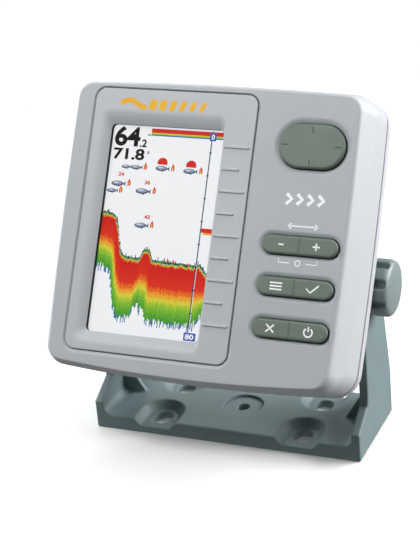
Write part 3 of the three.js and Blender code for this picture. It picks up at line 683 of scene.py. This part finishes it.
LAYERS = 13
LAYER_STEP = 0.012
SHADES = [lit(f"echo_shade_{i}", *band_colour(i / (LAYERS - 1))) for i in range(LAYERS)]


def lake_bed(x):
    """Height of the echo's upper edge, by place across the screen."""
    slope = 19.4 / (1 + exp((x + 41.5) / 1.1))
    bump = 4.4 * exp(-((x + 26.6) / 2.6) ** 4)
    return -16.6 + slope + bump - 0.035 * (x + 40)


def echo_depth(x):
    """Thickness of the echo, which is thinner behind a bump in the bed."""
    return 28.6 - 5.0 * exp(-((x + 29.4) / 1.7) ** 4) - 3 / (1 + exp((x + 43) / 1.5))


def columns_outline(xs, high, low):
    outline = []
    for i in range(len(xs) - 1):
        outline += [(xs[i], low[i]), (xs[i + 1], low[i])]
    for i in reversed(range(len(xs) - 1)):
        outline += [(xs[i + 1], high[i]), (xs[i], high[i])]
    return outline


def echo(name, rng, start, end, high, thick):
    """A fading echo: thin layers, the strongest on top, made of narrow columns with ragged ends."""
    xs = np.linspace(start, end, int((end - start) / 0.42))
    ragged = rng.uniform(-1, 1, len(xs))
    for i in reversed(range(LAYERS)):
        share = i / (LAYERS - 1)
        jitter = rng.uniform(-0.35, 0.35, len(xs))
        top = [high(x) - 2.1 * (1 - share) + 0.7 * (0.5 + share) * r for x, r in zip(xs, ragged[::-1])]
        reach = 0.12 + 0.88 * share
        ends = (0.7 * ragged + jitter) * (0.6 + share)
        low = [high(x) - thick(x) * reach + end for x, end in zip(xs, ends)]
        if i == LAYERS - 1:
            low = [z + hidden for z, hidden in zip(low, rng.choice([0.0, 2.6], len(xs), p=[0.45, 0.55]))]
        low = [max(z, OPENING.low + 0.6) for z in low]
        top = [max(a, b + 0.05) for a, b in zip(top, low)]
        picture_layer(f"{name}_{i}", SHADES[i], [columns_outline(xs, top, low)], 1 + (LAYERS - i) * 0.6)


def picture_layer(name, material, outlines, level):
    marks(name, "head", material, outlines, PICTURE - LAYER_STEP * level, "display")


def numerals(name, text, x, z, width, height, material, level):
    """Bold numerals lying on the display, fitted to a width and a height."""
    curve = bpy.data.curves.new(name, "FONT")
    curve.body = text
    curve.offset = 0.032
    curve.extrude = 0.01
    source = add(name + "_source", curve)
    bpy.context.view_layer.update()
    mesh = source.to_mesh()
    points = np.array([v.co for v in mesh.vertices])
    low, high = points.min(0), points.max(0)
    points = (points - low) / (high - low)
    skin = Skin()
    front = PICTURE - LAYER_STEP * level
    skin.loop([(x + p[0] * width, front - 0.02 * p[2], z + p[1] * height) for p in points])
    for polygon in mesh.polygons:
        skin.face(tuple(polygon.vertices))
    source.to_mesh_clear()
    bpy.data.objects.remove(source)
    bpy.data.curves.remove(curve)
    piece(name, skin, FACE, "head", "display", (), [material])


def oval(x, z, half, up, start=0, end=345, steps=23):
    return [(x + half * a, z + up * b) for a, b in arc(0, 0, 1, start, end, steps)]


def flame(x, z, size):
    shape = [(0, 1), (-0.42, 0), (-0.3, -0.9), (0, -0.4), (0.3, -0.9), (0.42, 0)]
    return [(x + a * size, z + b * size) for a, b in shape]


# A fish that faces left, about one unit long from its middle to its nose
TAIL = [(1.55, -0.42), (1.4, 0), (1.55, 0.42), (1.0, 0)]
FIN = [(0.35, -0.62), (0.4, -0.3), (-0.1, -0.3)]
FISH = {
    "fish_shapes": (lit("fish_dark", 66, 76, 104), [oval(0, 0, 1.1, 0.44), TAIL, FIN]),
    "fish_backs": (lit("fish_pale", 138, 150, 176), [oval(-0.02, 0.08, 0.92, 0.3)]),
    "fish_bellies": (lit("fish_shine", 206, 212, 224), [oval(-0.2, 0.16, 0.5, 0.12)]),
}
# Each fish: its place across and up the screen, and its size
SHOAL = [(-42.2, 25.2, 2.0), (-37.2, 25.2, 2.3), (-24.4, 25.4, 2.7), (-10.6, 25.0, 2.7), (-45.4, 17.2, 2.8)]
SHOAL += [(-47.9, 13.8, 2.2), (-32.6, 14.4, 2.9), (-31.2, -1.2, 2.7)]
SCHOOLS = [(-24.2, 28.0), (-10.0, 27.6)]
WEEDS = [(-15.6, -16.2), (-12.8, -16.4), (-5.4, -17.2)]
# The scale's line, which divides the picture, with its ticks and the boxes at its ends
DIVIDER = -1.4
SCALE_LINES = [([(DIVIDER, 43.6), (DIVIDER, -50.9)], 0.5)]
SCALE_LINES += [([(DIVIDER - 0.5, 34 - 10.4 * i), (DIVIDER + 0.5, 34 - 10.4 * i)], 0.7) for i in range(8)]
BOXES = [(-2.6, 0.6, 39.4, 43.0), (-3.2, 2.6, -51.0, -47.4)]
# Bars: their name, colour, ends, place up the screen, width and level
SURFACE_BARS = [
    ("surface_red", SIGN_RED, -31.5, 3.9, 42.5, 2.0, 1),
    ("surface_orange", SHADES[7], -31.5, 3.9, 41.35, 0.5, 1),
    ("surface_yellow", SHADES[8], -31.5, 3.9, 40.95, 0.5, 1),
    ("surface_blue", SHADES[12], -31.5, 3.9, 40.45, 0.6, 1),
]
MARKER_BARS = [
    ("echo_marker", SIGN_RED, -1.2, 4.5, -1.2, 1.9, 2),
    ("echo_marker_low", SHADES[6], -0.2, 4.3, -2.6, 0.9, 2),
]
# Numerals: their name, text, place, width, height, colour and level
SCALE_NUMERALS = [
    ("scale_start", "0", -1.7, 40.0, 1.5, 2.4, SIGN_WHITE, 18),
    ("scale_end", "80", -2.5, -50.4, 4.2, 2.4, SIGN_WHITE, 18),
]
READINGS = [
    ("fish_depth_1", "24", -45.4, 20.6, 2.8, 1.9, SIGN_RED, 4),
    ("fish_depth_2", "36", -31.8, 17.6, 2.8, 1.9, SIGN_RED, 4),
    ("fish_depth_3", "43", -29.8, 1.8, 2.8, 1.9, SIGN_RED, 4),
    ("depth_large", "64", -49.5, 34.6, 12.8, 9.2, INK, 4),
    ("depth_small", ".2", -36.6, 34.6, 3.4, 3.6, INK, 4),
    ("water_reading", "71.8", -49.3, 28.4, 15.6, 5.3, INK, 4),
]


def now_bed(x):
    """The bed's height in the narrow strip of newest echoes, right of the divider."""
    return -17.2 - 0.17 * (x - DIVIDER) ** 2


def now_depth(x):
    return 28 - 3.0 * max(x - 0.3, 0)


def bars(rows):
    for name, colour, start, end, up, width, level in rows:
        picture_layer(name, colour, [stroke([(start, up), (end, up)], width)], level)


def picture():
    rng = np.random.default_rng(7)
    strips = [("", OPENING.left - 0.4, DIVIDER - 0.2, lake_bed, echo_depth)]
    strips.append(("_now", DIVIDER + 0.5, OPENING.right - 0.5, now_bed, now_depth))
    for label, start, end, high, thick in strips:
        echo("echo" + label, rng, start, end, high, thick)
    for label, start, end, high, _ in strips:
        xs = np.linspace(start, end, int((end - start) / 0.36))
        tall = rng.uniform(-0.4, 1.0, len(xs)) ** 3
        top = [high(x) + 0.7 + 1.7 * t for x, t in zip(xs, tall)]
        low = [high(x) - 0.5 for x in xs]
        picture_layer("bed_weeds" + label, WEED, [columns_outline(xs, top, low)], 0.5)
    bars(SURFACE_BARS)
    picture_layer("weed_signs", SIGN_RED, [flame(x, z, 1.1) for x, z in WEEDS], 14)
    picture_layer("depth_scale", LINE_BLUE, [stroke(*line) for line in SCALE_LINES], 16)
    picture_layer("scale_boxes", BOX_BLUE, [rounded(*box, 0.3, 3) for box in BOXES], 17)
    for row in SCALE_NUMERALS:
        numerals(*row)
    bars(MARKER_BARS)
    for level, (name, (colour, shapes)) in enumerate(FISH.items(), 2):
        placed_shapes = []
        for x, z, size in SHOAL:
            placed_shapes += [[(x + a * size, z + b * size) for a, b in shape] for shape in shapes]
        picture_layer(name, colour, placed_shapes, level)
    beside = [(x + 2.1 * size, z + 0.6) for x, z, size in SHOAL[1:]]
    picture_layer("fish_flames", SIGN_RED, [flame(x, z, 2.0) for x, z in beside], 6)
    picture_layer("flame_hearts", SHADES[7], [oval(x, z - 0.2, 0.3, 0.6) for x, z in beside], 8)
    schools = [oval(x, z, 2.5, 2.4, -20, 200, 16) for x, z in SCHOOLS]
    picture_layer("school_signs", SIGN_RED, schools, 1)
    for row in READINGS:
        numerals(*row)
    degree = stroke(arc(-31.9, 32.2, 0.5, 0, 345, 15), 0.3)
    picture_layer("reading_signs", INK, [degree, stroke([(-33.2, 40.4), (-31.8, 40.4)], 0.5)], 1)


# Head: rear moulding
def body_outline(inset):
    half, up = BODY.width / 2 - inset, BODY.height / 2 - inset
    middle = BODY.up
    return rounded(-half, half, middle - up, middle + up, BODY.corner - inset, 10, side=2)


def rear_shell():
    skin = Skin()
    front, back, turn = LIP.front, LIP.back, LIP.round
    bevel = LIP.bevel
    loops = [at(front + bevel, case_outline(0, 0, 0)), at(back - turn, case_outline(0, 0, 0))]
    for drawn, gone in bend(90, 5)[1:]:
        loops.append(at(back - turn * (1 - gone), case_outline(*[turn * drawn] * 3)))
    edge = skin.loop(at(front, case_outline(bevel, bevel, bevel)))
    lip_front, shoulder = skin.bands(loops)
    skin.band(edge, lip_front)
    root, flat, turn = BODY.root, BODY.flat, BODY.end - BODY.flat
    sides = [at(back + root * drawn, body_outline(-root * (1 - gone))) for drawn, gone in bend(90, 4)]
    sides += [at(flat + turn * gone, body_outline(turn * drawn)) for drawn, gone in bend(90, 8)]
    foot, end = skin.bands(sides)
    skin.flat(shoulder, foot)
    skin.flat(end)
    wall = BODY.wall
    inside = [at(front, body_outline(wall)), at(flat - 1, body_outline(wall))]
    inside.append(at(BODY.end - wall, body_outline(wall + BODY.inside_round)))
    mouth, floor = skin.bands(inside)
    skin.flat(edge, mouth)
    skin.flat(floor)
    made = piece("rear_shell", skin, FACE, "head", "rear_silver", ["rear_case"])
    cutters = []
    for side in (-1, 1):
        socket = FACE @ Vector((side * SOCKET.x, BODY.end, SOCKET.up))
        cutters.append(cutter(socket, REAR, *SOCKET_HOLE))
        cutters.append(cutter(PIVOT + RIGHT * side * PIVOT_HOLE_X * MM, RIGHT, *PIVOT_HOLE))
    for index in range(1, 7):
        low, high = spread(f"case_screw_{index}", FACE)
        x, _, z = (low + high) / 2
        cutters.append(cutter(FACE @ Vector((x, LIP.back, z)), REAR, *SCREW_HOLE))
    carve(made, cutters)


def cutting_tool(shape, place):
    """A mesh that is only there to cut with, until carve has used it."""
    mesh = bpy.data.meshes.new("tool")
    shape.to_mesh(mesh)
    shape.free()
    tool = add("tool", mesh)
    tool.matrix_world = place
    return tool


def cutter(centre, axis, radius, length):
    """A round tool for cutting a hole along an axis."""
    shape = bmesh.new()
    sizes = dict(radius1=radius * MM, radius2=radius * MM, depth=length * MM)
    bmesh.ops.create_cone(shape, cap_ends=True, segments=40, **sizes)
    turn = axis.to_track_quat("Z", "Y").to_matrix().to_4x4()
    return cutting_tool(shape, Matrix.Translation(centre) @ turn)


def carve(made, tools):
    """Cuts the tools out of a piece and removes them."""
    for tool in tools:
        cut = made.modifiers.new("cut", "BOOLEAN")
        cut.operation = "DIFFERENCE"
        cut.solver = "EXACT"
        cut.object = tool
    made.modifiers.remove(made.modifiers["even_normals"])
    bpy.context.view_layer.update()
    shaped = bpy.data.meshes.new_from_object(made.evaluated_get(bpy.context.evaluated_depsgraph_get()))
    made.modifiers.clear()
    made.data = shaped
    shaped.set_sharp_from_angle(angle=radians(38))
    made.modifiers.new("even_normals", "WEIGHTED_NORMAL").keep_sharp = True
    for tool in tools:
        bpy.data.objects.remove(tool)


def turned(profile, steps, groove=None):
    """A skin turned about Y from (radius, place) pairs. Its ends lie on the axis. A groove function may
    change the radius by angle and place."""
    skin = Skin()
    angles = [2 * pi * i / steps for i in range(steps)]
    loops = []
    for radius, reach in profile[1:-1]:
        ring = []
        for a in angles:
            r = groove(radius, a, reach) if groove else radius
            ring.append((r * cos(a), reach, r * sin(a)))
        loops.append(ring)
    first, last = skin.bands(loops)
    for ring, (_, reach) in ((first, profile[0]), (last, profile[-1])):
        tip = skin.loop([(0, reach, 0)])[0]
        for i in range(steps):
            skin.face((ring[i], ring[(i + 1) % steps], tip))
    return skin


# Clamp knobs, drawn along the shaft from its middle
KNOB = Sizes(
    radius=13.3, start=68.6, wall=70.4, shoulder=75.6, rim=3.2, dome=79.9,
    flutes=8, flute=2.8, flute_end=77.6, flute_round=2.4,
)
# The knob's inner end with the bore for its stud: radius, and distance from its start
KNOB_BACK = [(0, 5.6), (3.3, 5.6), (3.3, 0), (9.9, 0), (10.4, 0), (12.4, 0.3), (13.2, 1.0), (13.3, 1.8)]


def flute_share(angle, threshold):
    """One inside a finger groove and nothing on a lobe, with rounded shoulders. A higher threshold makes
    the groove narrower."""
    return 1 / (1 + exp(-(cos(KNOB.flutes * angle) - threshold) * 10))


def fluted(radius, angle, reach):
    """Grooves run from the knob's inner end to a rounded end on its shoulder."""
    if radius < KNOB.radius - KNOB.rim or reach < KNOB.start - 0.1:
        return radius
    left = min(max((KNOB.flute_end - reach) / KNOB.flute_round, 0), 1)
    depth = sqrt(1 - (1 - left) ** 2)
    return radius - KNOB.flute * flute_share(angle, 0.4 + 0.6 * (1 - depth)) * depth


def knob(label, side):
    radius, wall, shoulder, rim = KNOB.radius, KNOB.wall, KNOB.shoulder, KNOB.rim
    profile = [(r, KNOB.start + along) for r, along in KNOB_BACK]
    profile += [(radius, wall + (shoulder - wall) * i / 14) for i in range(1, 15)]
    profile += [(radius - rim * drawn, shoulder + rim * gone) for drawn, gone in bend(72, 12)[1:]]
    edge, height = profile[-1]
    for i in range(1, 10):
        share = i / 9
        profile.append((edge * (1 - share), height + (KNOB.dome - height) * (1 - (1 - share) ** 2)))
    place = placed(PIVOT, (REAR, RIGHT * side, UP * side))
    skin = turned(profile, KNOB.flutes * 30, fluted)
    body = f"knob_{label}"
    piece(f"{label}_knob_shell", skin, place, body, "bracket_grey", [body], [KNOB_GREY], 50)


# Sockets on the rear: (radius, depth) pairs of a shell with a nut and a keyed ring
SOCKET_PROFILE = [(7.2, 60), (9, 60), (9, 70.25), (11.2, 70.25), (11.5, 70.5), (11.5, 71.4), (11.2, 71.8)]
SOCKET_PROFILE += [(9.25, 71.95), (9, 72.2), (9, 73.2), (8.75, 73.4), (8.75, 73.9), (9, 74.1), (9, 78.6)]
SOCKET_PROFILE += [(8.7, 79), (7.5, 79), (7.2, 78.7)]


def sockets():
    for label, side in (("power", -1), ("transducer", 1)):
        skin = Skin()
        rings = []
        for radius, reach in SOCKET_PROFILE:
            ring = arc(side * SOCKET.x, SOCKET.up, radius, 0, 360 - 5, 71)
            rings.append(skin.loop(at(reach, ring)))
        for near, far in zip(rings, rings[1:] + rings[:1]):
            skin.band(near, far)
        piece(f"{label}_socket", skin, FACE, "head", "black_plastic", [f"{label}_socket_shell"])


# Screws with a cross recess: (radius, distance) pairs from the tip, and from the top of the head
SCREW_TIP = [(0, 0), (0.9, 0), (1.45, 1.4)]
SCREW_HEAD = [(1.45, -2), (2.75, -2), (2.8, -1.9), (2.8, -0.5), (2.65, -0.22), (2.2, -0.03), (0.6, 0), (0, 0)]
SCREW_CROSS = (3.0, 1.8, 0.6)


def screws():
    for index in range(1, 7):
        node = f"case_screw_{index}"
        low, high = spread(node, FACE)
        profile = [(radius, low[1] + along) for radius, along in SCREW_TIP]
        profile += [(radius, high[1] + along) for radius, along in SCREW_HEAD]
        x, _, z = (low + high) / 2
        place = FACE @ Matrix.Translation((x, 0, z))
        name = f"case_screw_shape_{index}"
        made = piece(name, turned(profile, 32), place, "head", "steel", [node])
        top = place @ Vector((0, high[1], 0))
        tools = []
        for turn in (RIGHT, UP):
            shape = bmesh.new()
            bmesh.ops.create_cube(shape, size=1)
            cross = placed(top, (turn, REAR, REAR.cross(turn)))
            tools.append(cutting_tool(shape, cross @ Matrix.Diagonal((*SCREW_CROSS, 1))))
        carve(made, tools)


# Bracket: one smooth surface found from distances, so that every edge and root is rounded
ARM = Sizes(thickness=4.4, height=77.0, back=2.5, radius=12.6, hole=3.8, edge=0.9, hole_edge=0.4)
NECK = Sizes(back=22.8, front=26.0, step=1.0, step_height=21.5, toe=14.0)
PLATE = Sizes(half=67.6, depth=25.2, thickness=7.4, root=4.0, edge=0.45, foot_edge=0.5)
HOLE = Sizes(
    x=36.4, y=14.8, radius=4.3, straight=1.2, top=11.2, rise=1.5, floor=3.6,
    root=0.25, rim=0.28, edge=0.3,
)
RIB = Sizes(reach=52.0, height=25.4, y=1.8, half=1.3, inset=1.5, edge=0.5, root=1.0)
MIDDLE = Sizes(radius=10.0, depth=1.2, edge=0.35, hole=2.95, hole_edge=0.4)
NET_STEP = 0.56


def both(a, b, radius):
    """The distance to what two solids share, with a rounded edge."""
    corner = np.sqrt(np.maximum(a + radius, 0) ** 2 + np.maximum(b + radius, 0) ** 2)
    return np.minimum(np.maximum(a, b), -radius) + corner


def either(a, b, radius):
    """The distance to two solids joined with a filled root."""
    return -both(-a, -b, radius)


def polygon_distance(y, z, corners):
    best, inside = None, None
    for (y0, z0), (y1, z1) in zip(corners, corners[1:] + corners[:1]):
        ey, ez = y1 - y0, z1 - z0
        along = np.clip(((y - y0) * ey + (z - z0) * ez) / (ey * ey + ez * ez), 0, 1)
        away = (y - y0 - along * ey) ** 2 + (z - z0 - along * ez) ** 2
        crossing = ((z0 <= z) != (z1 <= z)) & ((z - z0) * ey / (ez if ez else 1e-9) + y0 > y)
        best = away if best is None else np.minimum(best, away)
        inside = crossing if inside is None else inside ^ crossing
    return np.where(inside, -1, 1) * np.sqrt(best)


def arm_corners():
    half = PLATE.depth
    front = ARM.back - ARM.radius
    top = arc(ARM.back, ARM.height, ARM.radius, 10, 180, 28)
    front_side = [(front, NECK.front), (front - NECK.step, NECK.step_height), (-half, NECK.toe)]
    return [(-half, -5), (half, -5), (half, NECK.back)] + top + front_side


def bracket_distance(x, y, z):
    across = np.abs(x)
    section = either(z - PLATE.thickness, PLATE.half - ARM.thickness - across, PLATE.root)
    section = both(section, across - PLATE.half, PLATE.edge)
    solid = both(section, polygon_distance(y, z, arm_corners()), ARM.edge)
    lean = (RIB.height - PLATE.thickness) / (PLATE.half - ARM.thickness - RIB.reach)
    slope = (z - PLATE.thickness - lean * (across - RIB.reach)) / hypot(1, lean)
    rib = both(slope, np.abs(y - RIB.y) - RIB.half, RIB.edge)
    rib = both(rib, across - PLATE.half + RIB.inset, RIB.edge)
    solid = either(solid, rib, RIB.root)
    solid = both(solid, -z, PLATE.foot_edge)
    dx = across - HOLE.x
    dy = np.abs(y) - HOLE.y
    reach = np.sqrt(dx ** 2 + np.minimum(dy, 0) ** 2)
    cone = np.maximum(PLATE.thickness - z, -HOLE.rise) + reach - HOLE.top
    pocket = both(cone * sqrt(0.5), HOLE.floor - z, HOLE.root)
    solid = both(solid, -pocket, HOLE.rim)
    slot = np.sqrt(dx ** 2 + np.maximum(np.abs(dy) - HOLE.straight, 0) ** 2) - HOLE.radius
    solid = both(solid, -slot, HOLE.edge)
    middle = np.sqrt(x ** 2 + y ** 2)
    recess = np.maximum(middle - MIDDLE.radius, PLATE.thickness - MIDDLE.depth - z)
    solid = both(solid, -recess, MIDDLE.edge)
    solid = both(solid, MIDDLE.hole - middle, MIDDLE.hole_edge)
    bore = np.sqrt((y - ARM.back) ** 2 + (z - ARM.height) ** 2) - ARM.hole
    return both(solid, -bore, ARM.hole_edge)


def net_of(distance, low, high, step):
    """A surface net: one point in each grid cell that the surface crosses, moved onto the surface."""
    axes = [np.arange(a - 1.5 * step, b + 1.5 * step, step) for a, b in zip(low, high)]
    field = distance(axes[0][:, None, None], axes[1][None, :, None], axes[2][None, None, :])
    field = np.broadcast_to(field, [len(a) for a in axes])
    inside = field < 0
    shape = [n - 1 for n in inside.shape]
    total = np.zeros(shape, int)
    for i, j, k in np.ndindex(2, 2, 2):
        total += inside[i:i + shape[0], j:j + shape[1], k:k + shape[2]]
    cells = np.argwhere((total > 0) & (total < 8))
    number = -np.ones(shape, int)
    number[tuple(cells.T)] = np.arange(len(cells))
    points = np.array([axes[d][cells[:, d]] + step / 2 for d in range(3)])
    for _ in range(6):
        value = distance(*points)
        tiny = 0.02
        slope = []
        for d in range(3):
            shift = np.zeros((3, 1))
            shift[d] = tiny
            slope.append((distance(*(points + shift)) - distance(*(points - shift))) / (2 * tiny))
        slope = np.array(slope)
        move = -value * slope / np.maximum((slope ** 2).sum(0), 0.3)
        points = points + np.clip(move, -0.5 * step, 0.5 * step)
    faces = []
    for d in range(3):
        u, v = [(1, 2), (2, 0), (0, 1)][d]
        near = [slice(None)] * 3
        far = [slice(None)] * 3
        near[d], far[d] = slice(0, -1), slice(1, None)
        change = inside[tuple(near)].astype(int) - inside[tuple(far)]
        for sign in (1, -1):
            spots = np.argwhere(change == sign)
            spots = spots[(spots[:, u] > 0) & (spots[:, v] > 0)]
            corners = []
            for du, dv in ((1, 1), (0, 1), (0, 0), (1, 0)):
                cell = spots.copy()
                cell[:, u] -= du
                cell[:, v] -= dv
                corners.append(number[tuple(cell.T)])
            quads = np.array(corners).T
            faces.append(quads if sign > 0 else quads[:, ::-1])
    return points.T, np.concatenate(faces)


def bracket():
    high = (PLATE.half, PLATE.depth, ARM.height + ARM.radius)
    points, faces = net_of(bracket_distance, (-PLATE.half, -PLATE.depth, 0), high, NET_STEP)
    skin = Skin()
    skin.loop([tuple(p) for p in points])
    for quad in faces:
        skin.face(tuple(int(i) for i in quad))
    piece("bracket_shape", skin, BASE, "bracket", "bracket_grey", ["bracket"], crease=60)


# Camera, light and floor
CAMERA = Sizes(yaw=24.5, pitch=24.8, roll=-5.2, distance=794.9, sensor=36, lens=108.06)
AIM = (-11.6, 0, 73.4)


def camera():
    data = bpy.data.cameras.new("camera")
    data.sensor_width = CAMERA.sensor
    data.lens = CAMERA.lens
    data.clip_start = 0.05
    data.clip_end = 50
    view = add("camera", data)
    yaw, pitch, roll = map(radians, (CAMERA.yaw, CAMERA.pitch, CAMERA.roll))
    turn = Matrix.Rotation(yaw, 4, "Z") @ Matrix.Rotation(pi / 2 - pitch, 4, "X")
    away = Matrix.Translation((0, 0, CAMERA.distance * MM))
    middle = Matrix.Translation(BASE @ Vector(AIM))
    view.matrix_world = middle @ turn @ away @ Matrix.Rotation(roll, 4, "Z")
    bpy.context.scene.camera = view


FLOOR_RADIUS = 520
# The room's soft light changes between two heights, and the camera sees the room at a brightness of its own
ROOM_HEIGHTS = (-0.75, -0.05)
ROOM_LIGHT = (0.4, 0.08)
ROOM_SEEN = 1.02

# Each lamp: direction, distance, size and how brightly it lights a white surface that faces it
LAMPS = [
    ("key_right", (0.8, 0.44, 0.36), 1.1, (0.9, 0.8), 2.0, (1.0, 0.985, 0.99)),
    ("front_left", (-0.3, -0.56, 0.74), 0.95, (0.6, 0.45), 0.63, (1.0, 1.0, 1.0)),
    ("overhead", (0.0, 0.0, 1.0), 2.4, (2.2, 2.2), 0.44, (1.0, 1.0, 1.0)),
    ("behind_left", (-0.6, 0.75, 0.5), 1.2, (0.7, 0.5), 0.25, (0.97, 0.99, 1.0)),
    ("rim_left", (-0.97, 0.1, 0.1), 1.0, (0.4, 0.5), 0.95, (0.93, 0.97, 1.0)),
]


def lamp(name, place, target, size, power, colour):
    data = bpy.data.lights.new(name, "AREA")
    data.shape = "RECTANGLE"
    data.size, data.size_y = size
    data.energy = power
    data.color = colour
    light = add(name, data)
    light.location = place
    light.rotation_euler = (target - place).to_track_quat("-Z", "Y").to_euler()


def studio():
    scene = bpy.context.scene
    scene.view_settings.view_transform = "Standard"
    world = bpy.data.worlds.new("studio")
    scene.world = world
    world.use_nodes = True
    tree = world.node_tree
    sky = tree.nodes["Background"]
    direction = tree.nodes.new("ShaderNodeTexCoord")
    height = tree.nodes.new("ShaderNodeSeparateXYZ")
    tree.links.new(direction.outputs["Generated"], height.inputs["Vector"])
    strength = between(tree, height.outputs["Z"], *ROOM_HEIGHTS, *ROOM_LIGHT)
    tree.links.new(strength, sky.inputs["Strength"])
    give(sky, Color=(1, 1, 1, 1))
    seen = tree.nodes.new("ShaderNodeBackground")
    give(seen, Color=(1, 1, 1, 1), Strength=ROOM_SEEN)
    path = tree.nodes.new("ShaderNodeLightPath")
    mix = tree.nodes.new("ShaderNodeMixShader")
    tree.links.new(path.outputs["Is Camera Ray"], mix.inputs["Fac"])
    tree.links.new(sky.outputs["Background"], mix.inputs[1])
    tree.links.new(seen.outputs["Background"], mix.inputs[2])
    tree.links.new(mix.outputs["Shader"], tree.nodes["World Output"].inputs["Surface"])
    skin = Skin()
    skin.face(skin.loop([(x, y, 0) for x, y in arc(0, 0, FLOOR_RADIUS, 0, 357, 119)]))
    mesh = bpy.data.meshes.new("floor")
    mesh.from_pydata([Vector(p) * MM for p in skin.points], [], skin.faces)
    mesh.materials.append(surface("floor_pale", (0.95, 0.94, 0.925, 1), 0.9, vary=0.002, gloss=0.1))
    floor = add("floor", mesh)
    floor.location.z = -0.0002
    floor.visible_diffuse = False
    floor.visible_glossy = False
    middle = Vector((0, 0, 0.08))
    for name, direction, distance, size, light, colour in LAMPS:
        toward = Vector(direction).normalized()
        lamp(name, middle + toward * distance, middle, size, light * (pi * distance) ** 2, colour)


camera()
front_shell()
bezel()
screen_mask()
key_cap("pad_cap", "dpad", DPAD, DPAD.up, False)
for node, up in KEY_ROWS.items():
    key_cap(f"{node}_cap", node, ROCKER, up, True)
key_marks()
face_marks()
picture()
rear_shell()
for label, side in (("left", -1), ("right", 1)):
    knob(label, side)
sockets()
screws()
bracket()
studio()
